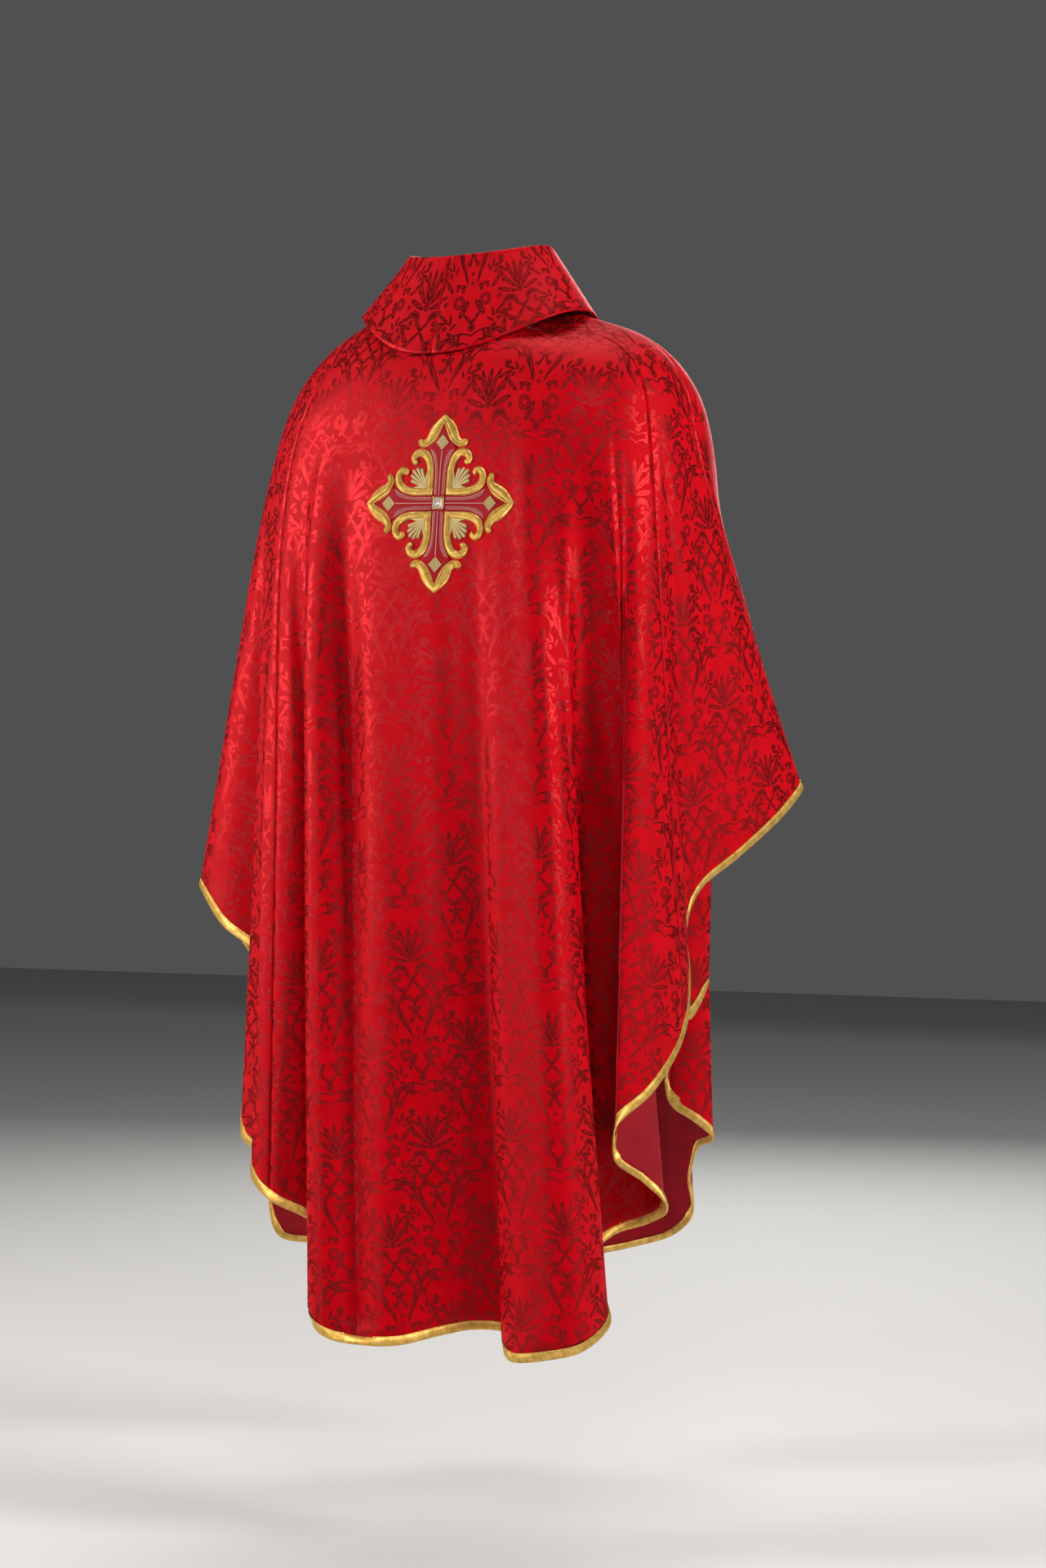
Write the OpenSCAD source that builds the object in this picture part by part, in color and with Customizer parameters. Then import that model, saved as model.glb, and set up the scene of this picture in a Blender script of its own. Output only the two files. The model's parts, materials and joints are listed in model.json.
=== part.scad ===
// Gothic chasuble in damask with a rolled collar, a gold hem binding and an embroidered cross.
// Frame: the neck opening is centred on the origin, the wearer faces -Y, +X is the wearer's left.
// The cloth hangs as on a standing wearer whose arms are lowered and bent forward.

/* [Cloth] */
// Thickness of the damask with its interlining
cloth_t = 1.2; // [0.8:0.1:2]
// Thickness of the lining
lining_t = 0.8; // [0.5:0.1:1.2]
// Air between damask and lining
ply_gap = 0.3; // [0.2:0.1:0.6]
// Stretch of the whole fall below the shoulders
fall_scale = 1; // [0.95:0.01:1.05]

/* [Hem binding] */
// Width of the binding on the face of the cloth
binding_w = 10; // [8:1:14]
// How far the binding stands proud of each face
binding_proud = 0.5; // [0.3:0.1:1]

/* [Neck and collar] */
// Half width of the neck opening
neck_half_w = 95; // [85:1:110]
// Depth of the neck opening behind its centre
neck_back = 80; // [70:1:95]
// Depth of the neck opening in front of its centre
neck_front = 105; // [90:1:125]
// Half width of the collar's lower edge
collar_half_w = 147; // [135:1:155]
// Thickness of the turned-down collar leaf
collar_t = 1.6; // [1.2:0.1:2.4]

/* [Cross] */
// Half height of the embroidered cross
cross_half_h = 106; // [90:1:115]
// Width of the cross as a share of its height
cross_w_ratio = 0.92; // [0.85:0.01:1]
// Height of the padded gold satin stitch
satin_h = 2.8; // [1.5:0.1:3.5]
// Thickness of the flat embroidery
flat_h = 0.8; // [0.5:0.1:1.2]
// Side of the square jewel setting
jewel_side = 14; // [10:0.5:16]

/* [Hidden] */

// The walk along the hem, once round the garment from the centre back over the wearer's left.
// Each entry is [direction at the shoulder in degrees, x, y, z of the hem].
HEM = [
    [0, -40, 190, -1225], [7, 0, 220, -1235], [14, 40, 240, -1235], [20, 80, 245, -1230],
    [25, 105, 230, -1215], [28, 110, 195, -1190], [31, 100, 170, -1155], [34, 120, 165, -1125],
    [38, 145, 190, -1100], [42, 180, 210, -1080], [46, 210, 205, -1055], [49, 220, 180, -1030],
    [52, 250, 165, -1010], [54, 255, 140, -970], [56, 240, 110, -900], [58, 240, 85, -845],
    [61, 270, 95, -795], [64, 315, 105, -760], [68, 360, 85, -715], [73, 380, 25, -740],
    [80, 350, -15, -800], [88, 325, -45, -880], [96, 320, -50, -975], [104, 345, -55, -1070],
    [112, 355, -85, -1165], [120, 320, -130, -1185], [129, 265, -150, -1200], [138, 230, -190, -1215],
    [148, 200, -245, -1230], [157, 160, -285, -1230], [166, 110, -305, -1225], [175, 50, -310, -1215],
    [183, -5, -310, -1200], [192, -45, -335, -1190], [200, -90, -350, -1175], [206, -125, -335, -1145],
    [211, -130, -315, -1100], [216, -145, -305, -1055], [220, -175, -290, -1040], [224, -160, -260, -1015],
    [228, -135, -240, -990], [232, -140, -230, -940], [235, -170, -230, -860], [239, -200, -215, -835],
    [243, -185, -190, -880], [247, -170, -170, -840], [251, -180, -185, -750], [257, -220, -220, -660],
    [263, -275, -235, -605], [270, -325, -220, -590], [274, -320, -170, -625], [279, -285, -110, -675],
    [284, -250, -70, -715], [288, -240, -55, -765], [291, -255, -35, -825], [294, -260, -5, -885],
    [298, -245, 45, -945], [302, -215, 85, -985], [306, -205, 75, -1025], [309, -225, 35, -1055],
    [312, -240, -5, -1090], [316, -210, -15, -1110], [320, -175, 10, -1125], [324, -160, 40, -1155],
    [328, -190, 75, -1185], [332, -220, 110, -1210], [337, -205, 155, -1235], [342, -170, 180, -1245],
    [346, -130, 185, -1250], [349, -110, 165, -1245], [352, -100, 145, -1225], [356, -70, 165, -1220]
];
HEM_COUNT = len(HEM);
// Places on the walk: the two side tips and the seams between the panels
LEFT_TIP = 18;
RIGHT_TIP = 49;
BACK_LEFT_SEAM = 9;
BACK_RIGHT_SEAM = 55;
FRONT_LEFT_SEAM = 25;
FRONT_RIGHT_SEAM = 40;
// Shares of a column's length at which it leaves the neck, the shoulder and the chest
NECK_SHARE = 0.04;
SHOULDER_SHARE = 0.13;
CHEST_SHARE = 0.35;
// How far towards the hem the rounding at the chest reaches
CHEST_REACH = 0.2;
// The collar: [half width, back, front, x, y, back z, side z, front z] of its fold and its edge
COLLAR_FOLD = [92, 84, 96, 6, 0, 42, 60, 22];
COLLAR_EDGE = [collar_half_w, 134, 146, 6, 0, -77, -16, -96];
// Centre of the cross on the back, how its plane leans and faces, and its turn in that plane
CROSS_AT = [-22, 165, -259];
CROSS_LEAN = 4.4;
CROSS_FACING = 1.7;
CROSS_TURN = 2;

lining_face = cloth_t + ply_gap;
full_t = cloth_t + ply_gap + lining_t;
crimson = "#c8001c";
lining_red = "#9c0014";
gold = "#d8a83a";
olive_gold = "#a8904a";

// ---- surface of the draped cloth ----
function wrap(i) = ((i % HEM_COUNT) + HEM_COUNT) % HEM_COUNT;
function hem_entry(i) = HEM[wrap(i)] + [360 * floor(i / HEM_COUNT), 0, 0, 0];
// Smooth curve through four neighbouring entries, at the share f between the middle two
function between(a, b, c, d, f) = 0.5 * (2 * b + (c - a) * f + (2 * a - 5 * b + 4 * c - d) * f * f
    + (3 * b - a - 3 * c + d) * f * f * f);
function hem_at(u) = let (i = floor(u)) between(hem_entry(i - 1), hem_entry(i), hem_entry(i + 1),
    hem_entry(i + 2), u - i);
function signed_power(v, p) = sign(v) * pow(abs(v), p);
// Rounded ring round the body: r is [half width, back, front, x, y, back z, side z, front z]
function ring(a, r, p) = let (s = sin(a), c = cos(a), rise = pow(abs(c), 1.3)) [
    r[3] + r[0] * signed_power(s, p),
    r[4] + (c > 0 ? r[1] : r[2]) * signed_power(c, p),
    r[6] + ((c > 0 ? r[5] : r[7]) - r[6]) * rise];
// The neck seam rises over the wearer's left shoulder and dips at the back, most behind the right one
function neck_shift(a) = let (side = pow(sin(a), 2), back = pow(max(cos(a), 0), 2)) [0, 0,
    -8 * back + (sin(a) > 0 ? 14 * side : -8 * side - (cos(a) > 0 ? 32 * abs(sin(2 * a)) : 0))];
function neck_point(a) = ring(a, [neck_half_w, neck_back, neck_front, 0, 0, 0, -4, -70], 1) + neck_shift(a);
function shoulder_point(a) = ring(a, [245, 150, 155, -10, -8, -88, -66, -135], 0.75);
function chest_point(a) = ring(a, [282, 182, 205, 4, -14, -250, -215, -290], 0.72);
function hem_point(h) = [h[1], h[2], h[3] * fall_scale];
function arc3(a, b, c, k) = (1 - k) * (1 - k) * a + 2 * k * (1 - k) * b + k * k * c;
// Point of the cloth on column u at share t of its length, 0 at the neck and 1 at the hem
function cloth(u, t) = let (h = hem_at(u), a = h[0], n = neck_point(a), s = shoulder_point(a),
    c = chest_point(a), e = hem_point(h), q = c + CHEST_REACH * (e - c),
    ns = (n + s) / 2, sc = (s + c) / 2)
    t < NECK_SHARE ? n + (ns - n) * t / NECK_SHARE
    : t < SHOULDER_SHARE ? arc3(ns, s, sc, (t - NECK_SHARE) / (SHOULDER_SHARE - NECK_SHARE))
    : t < CHEST_SHARE ? arc3(sc, c, q, (t - SHOULDER_SHARE) / (CHEST_SHARE - SHOULDER_SHARE))
    : q + (e - q) * (t - CHEST_SHARE) / (1 - CHEST_SHARE);
function unit(v) = v / max(norm(v), 0.0001);
STEP_U = 0.12;
STEP_T = 0.006;
function outward(u, t) = unit(cross(cloth(u + STEP_U, t) - cloth(u - STEP_U, t),
    cloth(u, min(t + STEP_T, 1)) - cloth(u, max(t - STEP_T, 0))));
function sunk(u, t, depth) = cloth(u, t) - depth * outward(u, t);
// Share of the length at which the binding starts, so that it keeps its width
function binding_share(u) = let (h = hem_at(u), fall = norm(hem_point(h) - chest_point(h[0])))
    1 - binding_w * (1 - CHEST_SHARE) / ((1 - CHEST_REACH) * fall);

// Faces of a shell whose outer grid comes first, then its inner grid, (nu + 1) by (nt + 1) each
function shell_faces(nu, nt) = let (row = nt + 1, far = (nu + 1) * row) concat(
    [for (i = [0:nu - 1], j = [0:nt - 1]) each let (a = i * row + j)
        [[a, a + 1, a + row + 1], [a, a + row + 1, a + row]]],
    [for (i = [0:nu - 1], j = [0:nt - 1]) each let (a = far + i * row + j)
        [[a, a + row + 1, a + 1], [a, a + row, a + row + 1]]],
    [for (i = [0:nu - 1]) each let (a = i * row)
        [[a, a + row, a + row + far], [a, a + row + far, a + far]]],
    [for (i = [0:nu - 1]) each let (a = i * row + nt)
        [[a + row, a, a + far], [a + row, a + far, a + row + far]]],
    [for (j = [0:nt - 1]) each let (a = j)
        [[a + 1, a, a + far], [a + 1, a + far, a + 1 + far]]],
    [for (j = [0:nt - 1]) each let (a = nu * row + j)
        [[a, a + 1, a + 1 + far], [a, a + 1 + far, a + far]]]);

// Columns of the grid for each entry of the walk, and rows from neck to hem
COLUMNS_PER_ENTRY = 2.5;
ROWS = 10;
// Rows are closer together where the cloth bends over the shoulders
function row_share(j, nt) = pow(j / nt, 1.35);

// One layer of cloth between two columns, from the neck to the binding
module layer(u0, u1, top, bottom) {
    nu = round((u1 - u0) * COLUMNS_PER_ENTRY);
    nt = ROWS;
    grid = [for (depth = [top, bottom], i = [0:nu], j = [0:nt])
        let (u = u0 + (u1 - u0) * i / nu) sunk(u, row_share(j, nt) * binding_share(u), depth)];
    polyhedron(grid, shell_faces(nu, nt));
}

// The gold binding between two columns
module binding(u0, u1) {
    nu = round((u1 - u0) * COLUMNS_PER_ENTRY);
    grid = [for (depth = [-binding_proud, full_t + binding_proud], i = [0:nu], j = [0:1])
        let (u = u0 + (u1 - u0) * i / nu) sunk(u, j == 0 ? binding_share(u) : 1, depth)];
    polyhedron(grid, shell_faces(nu, 1));
}

module damask(u0, u1) { color(crimson) layer(u0, u1, 0, cloth_t); }
module back_centre_panel() { damask(BACK_RIGHT_SEAM - HEM_COUNT, BACK_LEFT_SEAM); }
module back_left_panel() { damask(BACK_LEFT_SEAM, LEFT_TIP); }
module back_right_panel() { damask(RIGHT_TIP - HEM_COUNT, BACK_RIGHT_SEAM - HEM_COUNT); }
module front_centre_panel() { damask(FRONT_LEFT_SEAM, FRONT_RIGHT_SEAM); }
module front_left_panel() { damask(LEFT_TIP, FRONT_LEFT_SEAM); }
module front_right_panel() { damask(FRONT_RIGHT_SEAM, RIGHT_TIP); }
module lining(u0, u1) { color(lining_red) layer(u0, u1, lining_face, full_t); }
module back_lining() { lining(RIGHT_TIP - HEM_COUNT, LEFT_TIP); }
module front_lining() { lining(LEFT_TIP, RIGHT_TIP); }
module hem_binding_back() { color(gold) binding(RIGHT_TIP - HEM_COUNT, LEFT_TIP); }
module hem_binding_front() { color(gold) binding(LEFT_TIP, RIGHT_TIP); }

// ---- collar ----
// Ring of the leaf at share k from its fold to its edge. The edge keeps up along the side and drops
// late towards the back, later on the wearer's left, where that side is also a little higher.
function leaf_ring(a, r, p, k) = let (point = ring(a, r, p), c = cos(a), side = r[6] + 4 * k * sin(a),
    drop = c > 0 ? 1.3 + ((a > 0 ? 3.2 : 2.0) - 1.3) * k : 1.3)
    [point[0], point[1], side + ((c > 0 ? r[5] : r[7]) - side) * pow(abs(c), drop)];
// Band between two rings, from angle a0 to a1. Follows is how much its two edges follow the neck seam;
// the leaf and its stiffening don't.
module collar_band(a0, a1, upper, lower, power, thick, nt, follows = [0, 0]) {
    nu = round((a1 - a0) / 7.5);
    grid = [for (depth = [0, thick], i = [0:nu], j = [0:nt])
        let (a = a0 + (a1 - a0) * i / nu, k = j / nt,
            r = upper + (lower - upper) * k - [depth, depth, depth, 0, 0, 0, 0, 0],
            p = power[0] + (power[1] - power[0]) * k)
        follows[1] > 0 ? ring(a, r, p) + neck_shift(a) * (follows[0] + (follows[1] - follows[0]) * k)
            : leaf_ring(a, r, p, k)];
    polyhedron(grid, shell_faces(nu, nt));
}
module leaf(a0, a1) {
    color(crimson) collar_band(a0, a1, COLLAR_FOLD, COLLAR_EDGE, [0.95, 0.9], collar_t, 4);
}
function shrunk(r, d) = r - [d, d, d, 0, 0, 0, 0, 0];
module collar_outer_left() { leaf(0, 179.5); }
module collar_outer_right() { leaf(-179.5, 0); }
module collar_interlining() {
    color("white") collar_band(-179.5, 179.5, shrunk(COLLAR_FOLD, collar_t + 0.3),
        shrunk(COLLAR_EDGE, collar_t + 0.3) + [0, 0, 0, 0, 0, 6, 6, 6], [0.95, 0.9], 0.8, 4);
}
module collar_facing() {
    color(lining_red) collar_band(-179.5, 179.5, shrunk(COLLAR_FOLD, collar_t + 2.4),
        [neck_half_w - 3, neck_back - 3, neck_front - 3, 0, 0, 2, -2, -66], [0.95, 1], 1.2, 3, [0, 1]);
}
module neck_seam_tape() {
    color("firebrick") collar_band(-179.5, 179.5,
        [neck_half_w - 5, neck_back - 5, neck_front - 5, 0, 0, 0, -4, -69],
        [neck_half_w - 5, neck_back - 5, neck_front - 5, 0, 0, -12, -16, -81], [1, 1], 0.8, 1, [1, 1]);
}

// ---- embroidered cross, drawn in its own plane: x to the viewer's right, y up, z outwards ----
module on_back() {
    translate(CROSS_AT) rotate([CROSS_LEAN, 0, CROSS_FACING]) rotate([90, 0, 180]) rotate(-CROSS_TURN)
        scale(cross_half_h / 106) children();
}
// The cross is drawn 106 high from its centre, and narrowed sideways
module narrowed(kx, ky) { mirror([kx < 0 ? 1 : 0, 0, 0]) mirror([0, ky < 0 ? 1 : 0, 0]) children(); }
function squeeze(points) = [for (p = points) [p[0] * cross_w_ratio, p[1]]];
function swap(points) = [for (p = points) [p[1], p[0]]];
function reversed(list) = [for (i = [len(list) - 1:-1:0]) list[i]];
function curve(path, steps) = let (last = len(path) - 1) [for (k = [0:last * steps])
    let (i = min(floor(k / steps), last - 1), f = k / steps - i)
    between(path[max(i - 1, 0)], path[i], path[i + 1], path[min(i + 2, last)], f)];
// Outline of a band that follows a path of [x, y, width]
function band_outline(path) = let (last = len(path) - 1,
    side = [for (i = [0:last]) let (a = path[max(i - 1, 0)], b = path[min(i + 1, last)],
        d = unit([b[0] - a[0], b[1] - a[1]])) [-d[1], d[0]] * path[i][2] / 2])
    concat([for (i = [0:last]) [path[i][0], path[i][1]] + side[i]],
        [for (i = [last:-1:0]) [path[i][0], path[i][1]] - side[i]]);

SCROLL_ARM = [[13.5, 9.3, 8.5], [13.5, 25, 8.5], [14.5, 38, 8.5], [18, 50, 9], [25, 58.5, 8.5],
    [32, 60, 7.5], [36.5, 57.5, 6]];
CURL_AT = [35, 54];
CURL_R = 5.2;
TIP_HALF = [[0, 106], [8, 99], [14, 91], [18.5, 82], [22, 79], [27, 79], [32, 78], [35.5, 74],
    [34, 69.5], [28, 67.5], [22, 69], [16, 73], [10, 80], [5, 88], [0, 96]];
GROUND_ARM = [[8.8, 8.8], [8.8, 35], [10, 45], [14, 56], [20.5, 66], [15, 72], [9, 79.5],
    [4.5, 88], [0, 95]];
LOZENGE_AT = 72;
LOZENGE_HALF = 9;
FAN_CORNER = [18.5, 18.5];

module scroll_band(kx, ky) {
    arm = curve(SCROLL_ARM, 3);
    color(gold) on_back() narrowed(kx, ky) linear_extrude(satin_h) union() {
        polygon(squeeze(band_outline(arm)));
        polygon(squeeze(swap(band_outline(arm))));
        for (at = squeeze([CURL_AT, swap([CURL_AT])[0]])) translate(at) circle(CURL_R, $fn = 24);
    }
}
// A tip, turned by quarter turns from the top one
function turned(points, q) = q == 0 ? points : q == 1 ? [for (p = points) [-p[1], p[0]]]
    : q == 2 ? [for (p = points) [-p[0], -p[1]]] : [for (p = points) [p[1], -p[0]]];
function mirrored_half(points) = concat(points,
    [for (p = reversed(points)) if (p[0] > 0.01) [-p[0], p[1]]]);
module cross_tip(q) {
    color(gold) on_back() linear_extrude(satin_h - 0.2)
        polygon(squeeze(turned(mirrored_half(TIP_HALF), q)));
}
module cross_ground() {
    color("#a00016") on_back() linear_extrude(flat_h) union() for (q = [0:3])
        polygon(squeeze(turned(concat([[0, 0]], mirrored_half(GROUND_ARM)), q)));
}
// Five long rounded rays spread between the two arms, on a narrow net ground
module ray_fan(kx, ky) {
    rays = [for (a = [20:12.5:70]) let (dir = [cos(a), sin(a)], r = a == 45 ? 30 : a > 30 && a < 60
        ? 29 : 26) band_outline([for (k = [0:4]) let (d = r * k / 4)
        [FAN_CORNER[0] + dir[0] * d, FAN_CORNER[1] + dir[1] * d, k == 4 ? 2.4 : 2 + k]])];
    color(olive_gold) on_back() narrowed(kx, ky) linear_extrude(flat_h + 0.6) union() {
        for (ray = rays) polygon(squeeze(ray));
        polygon(squeeze([[18, 18], [46, 18], [34, 21], [24, 24], [21, 34], [18, 46]]));
    }
}
module lozenge(q) {
    h = LOZENGE_HALF;
    diamond = [[0, LOZENGE_AT - h], [h, LOZENGE_AT], [0, LOZENGE_AT + h], [-h, LOZENGE_AT]];
    color(olive_gold) on_back() translate([0, 0, flat_h]) linear_extrude(0.8)
        polygon(squeeze(turned(diamond, q)));
}
// Rows of short stitches along both edges of every arm
module comb_stitching() {
    tooth = 2.6;
    arm = [for (k = [0:15]) let (y = 11 + k * tooth) [7.4 + 6 * pow(max(0, y - 36) / 20, 2), y]];
    comb = concat(arm, [for (p = reversed(arm)) each [p - [0.6, -0.7], p - [3.2, 0.2],
        p - [0.6, 0.5]]]);
    color("#d8a0a0") on_back() translate([0, 0, flat_h]) linear_extrude(0.3) union()
        for (q = [0:3], side = [1, -1])
            polygon(squeeze(turned([for (p = comb) [p[0] * side, p[1]]], q)));
}
module centre_line_cords() {
    line = [[-0.4, 8], [0.4, 8], [0.4, LOZENGE_AT - LOZENGE_HALF], [-0.4, LOZENGE_AT - LOZENGE_HALF]];
    color("#e0b0b0") on_back() translate([0, 0, flat_h]) linear_extrude(0.5) union()
        for (q = [0:3]) polygon(squeeze(turned(line, q)));
}
module jewel_setting() {
    wall = 2.2;
    side = jewel_side;
    color(olive_gold) on_back() translate([0, 0, flat_h]) difference() {
        translate([-side / 2, -side / 2, 0]) cube([side, side, 3]);
        translate([wall - side / 2, wall - side / 2, 1]) cube([side - 2 * wall, side - 2 * wall, 3]);
    }
}
// Square step-cut stone held in the setting
module jewel_crystal() {
    half = jewel_side / 2 - 2.4;
    table = half * 0.55;
    girdle = flat_h + 3;
    square_at = function (h, z) [[-h, -h, z], [h, -h, z], [h, h, z], [-h, h, z]];
    rings = concat(square_at(half * 0.6, flat_h + 1.1), square_at(half, girdle),
        square_at(table, girdle + 2));
    walls = [for (k = [0, 4], i = [0:3]) [k + i, k + 4 + i, k + 4 + (i + 1) % 4, k + (i + 1) % 4]];
    color("ghostwhite") on_back() polyhedron(rings, concat(walls, [[0, 1, 2, 3], [11, 10, 9, 8]]));
}

back_centre_panel();
back_left_panel();
back_right_panel();
front_centre_panel();
front_left_panel();
front_right_panel();
back_lining();
front_lining();
hem_binding_back();
hem_binding_front();
neck_seam_tape();
collar_outer_left();
collar_outer_right();
collar_interlining();
collar_facing();
cross_ground();
scroll_band(-1, 1);  // scroll_band_upper_left
scroll_band(1, 1);  // scroll_band_upper_right
scroll_band(-1, -1);  // scroll_band_lower_left
scroll_band(1, -1);  // scroll_band_lower_right
cross_tip(0);  // cross_tip_top
cross_tip(2);  // cross_tip_bottom
cross_tip(1);  // cross_tip_left
cross_tip(3);  // cross_tip_right
ray_fan(-1, 1);  // ray_fan_upper_left
ray_fan(1, 1);  // ray_fan_upper_right
ray_fan(-1, -1);  // ray_fan_lower_left
ray_fan(1, -1);  // ray_fan_lower_right
lozenge(0);  // lozenge_top
lozenge(2);  // lozenge_bottom
lozenge(1);  // lozenge_left
lozenge(3);  // lozenge_right
comb_stitching();
centre_line_cords();
jewel_setting();
jewel_crystal();
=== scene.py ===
# %% [markdown]
# # A gothic chasuble in damask, with a rolled collar and an embroidered cross
#
# A gothic chasuble is the wide cloak that a priest wears over a white alb. The cloth is a red silk
# or viscose damask: one colour, with a pattern that shows only because its threads float in another
# direction. This one is cut as a back and a front, each of a centre panel and two side panels, lined,
# bound along the whole lower edge with gold ribbon, and finished at the neck with a wide collar that
# rolls over itself. A padded gold cross is embroidered on the back.
#
# The CAD part holds the same pieces at their real places. Here each of them is made again, finer,
# and takes the place of its CAD piece. All lengths are in metres; the wearer looks along -Y and +X is
# the wearer's left.

import json
import math

import bmesh
import bpy
import numpy as np
from mathutils import Matrix, Vector

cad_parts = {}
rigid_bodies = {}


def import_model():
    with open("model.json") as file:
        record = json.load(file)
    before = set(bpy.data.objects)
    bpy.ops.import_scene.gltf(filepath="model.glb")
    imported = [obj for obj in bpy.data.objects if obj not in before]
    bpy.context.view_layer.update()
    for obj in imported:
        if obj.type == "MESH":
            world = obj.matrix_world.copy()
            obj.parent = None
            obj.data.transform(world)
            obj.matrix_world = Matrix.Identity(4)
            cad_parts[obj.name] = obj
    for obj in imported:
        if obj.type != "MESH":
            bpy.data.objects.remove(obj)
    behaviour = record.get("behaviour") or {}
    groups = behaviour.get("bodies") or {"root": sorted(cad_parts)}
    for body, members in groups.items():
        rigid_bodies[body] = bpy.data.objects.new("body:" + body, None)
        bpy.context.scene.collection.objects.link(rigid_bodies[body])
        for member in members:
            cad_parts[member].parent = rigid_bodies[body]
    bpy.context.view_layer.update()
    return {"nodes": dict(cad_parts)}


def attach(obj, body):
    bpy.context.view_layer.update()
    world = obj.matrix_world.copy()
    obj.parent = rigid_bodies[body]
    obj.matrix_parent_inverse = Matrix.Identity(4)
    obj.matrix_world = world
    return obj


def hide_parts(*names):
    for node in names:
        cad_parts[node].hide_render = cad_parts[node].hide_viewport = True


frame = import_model()
print("pieces in the frame:", len(frame["nodes"]))

# %% [markdown]
# ## The drape, described by the walk along its hem
#
# Cloth hangs from where it is held: here the shoulders and the two bent forearms. Below the shoulders
# each thread runs almost straight down to the hem, so a hanging garment is well described by two
# things: the rounding of the shoulders, and the wavy line that the hem makes in space. A cloth
# simulation could find that line, but it would find a different one at each small change of the body
# under it. The line is therefore placed fold by fold, and a smooth curve is laid through it.
#
# Each entry is the direction at the shoulder in degrees, counted from the centre of the back over the
# wearer's left, then the place of the hem in millimetres.

# %% The walk along the hem
HEM = np.array([
    (0, -40, 190, -1225), (7, 0, 220, -1235), (14, 40, 240, -1235), (20, 80, 245, -1230),
    (25, 105, 230, -1215), (28, 110, 195, -1190), (31, 100, 170, -1155), (34, 120, 165, -1125),
    (38, 145, 190, -1100), (42, 180, 210, -1080), (46, 210, 205, -1055), (49, 220, 180, -1030),
    (52, 250, 165, -1010), (54, 255, 140, -970), (56, 240, 110, -900), (58, 240, 85, -845),
    (61, 270, 95, -795), (64, 315, 105, -760), (68, 360, 85, -715), (73, 380, 25, -740),
    (80, 350, -15, -800), (88, 325, -45, -880), (96, 320, -50, -975), (104, 345, -55, -1070),
    (112, 355, -85, -1165), (120, 320, -130, -1185), (129, 265, -150, -1200), (138, 230, -190, -1215),
    (148, 200, -245, -1230), (157, 160, -285, -1230), (166, 110, -305, -1225), (175, 50, -310, -1215),
    (183, -5, -310, -1200), (192, -45, -335, -1190), (200, -90, -350, -1175), (206, -125, -335, -1145),
    (211, -130, -315, -1100), (216, -145, -305, -1055), (220, -175, -290, -1040),
    (224, -160, -260, -1015), (228, -135, -240, -990), (232, -140, -230, -940), (235, -170, -230, -860),
    (239, -200, -215, -835), (243, -185, -190, -880), (247, -170, -170, -840), (251, -180, -185, -750),
    (257, -220, -220, -660), (263, -275, -235, -605), (270, -325, -220, -590), (274, -320, -170, -625),
    (279, -285, -110, -675), (284, -250, -70, -715), (288, -240, -55, -765), (291, -255, -35, -825),
    (294, -260, -5, -885), (298, -245, 45, -945), (302, -215, 85, -985), (306, -205, 75, -1025),
    (309, -225, 35, -1055), (312, -240, -5, -1090), (316, -210, -15, -1110), (320, -175, 10, -1125),
    (324, -160, 40, -1155), (328, -190, 75, -1185), (332, -220, 110, -1210), (337, -205, 155, -1235),
    (342, -170, 180, -1245), (346, -130, 185, -1250), (349, -110, 165, -1245), (352, -100, 145, -1225),
    (356, -70, 165, -1220),
], float)
HEM[:, 1:] /= 1000
ENTRIES = len(HEM)
LEFT_TIP, RIGHT_TIP = 18, 49
BACK_LEFT_SEAM, BACK_RIGHT_SEAM = 9, 55 - ENTRIES
FRONT_LEFT_SEAM, FRONT_RIGHT_SEAM = 25, 40
NECK_SHARE, SHOULDER_SHARE, CHEST_SHARE, CHEST_REACH = 0.04, 0.13, 0.35, 0.2
HEIGHT_POWER = 1.3
print("the walk has", ENTRIES, "entries")


def hem_at(u):
    """Smooth curve through the walk: between entries 1 and 2 it is the cubic that leaves 1 with half
    the step from 0 to 2 and arrives at 2 with half the step from 1 to 3."""
    i = np.floor(u).astype(int)
    f = (u - i)[..., None]
    p = []
    for k in (i - 1, i, i + 1, i + 2):
        entry = HEM[k % ENTRIES].copy()
        entry[..., 0] += 360 * (k // ENTRIES)
        p.append(entry)
    return 0.5 * (2 * p[1] + (p[2] - p[0]) * f + (2 * p[0] - 5 * p[1] + 4 * p[2] - p[3]) * f**2
                  + (3 * p[1] - p[0] - 3 * p[2] + p[3]) * f**3)


def ring(angle, half_width, back, front, x, y, z_back, z_side, z_front, power):
    """Rounded ring round the body. Sine and cosine of the direction, raised to a power a little under
    one, give a squarish oval; its height eases from the side to the back or the front."""
    s, c = np.sin(np.radians(angle)), np.cos(np.radians(angle))
    reach = np.where(c > 0, back, front)
    end = np.where(c > 0, z_back, z_front)
    return np.stack([x + half_width * np.sign(s) * np.abs(s) ** power,
                     y + reach * np.sign(c) * np.abs(c) ** power,
                     z_side + (end - z_side) * np.abs(c) ** HEIGHT_POWER], axis=-1)


def neck_shift(angle):
    """How far the neck seam leaves a level oval: it rises over the left shoulder and dips at the
    back, most of all behind the right one, where the collar presses it down."""
    s, c = np.sin(np.radians(angle)), np.cos(np.radians(angle))
    right = -8 * s**2 - np.where(c > 0, 32 * np.abs(2 * s * c), 0)
    rise = np.where(s > 0, 14 * s**2, right) - 8 * np.maximum(c, 0)**2
    return np.stack([0 * rise, 0 * rise, rise / 1000], axis=-1)


def neck(angle):
    """Ring of the neck seam."""
    return ring(angle, 0.095, 0.080, 0.105, 0, 0, 0, -0.004, -0.070, 1.0) + neck_shift(angle)


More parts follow.
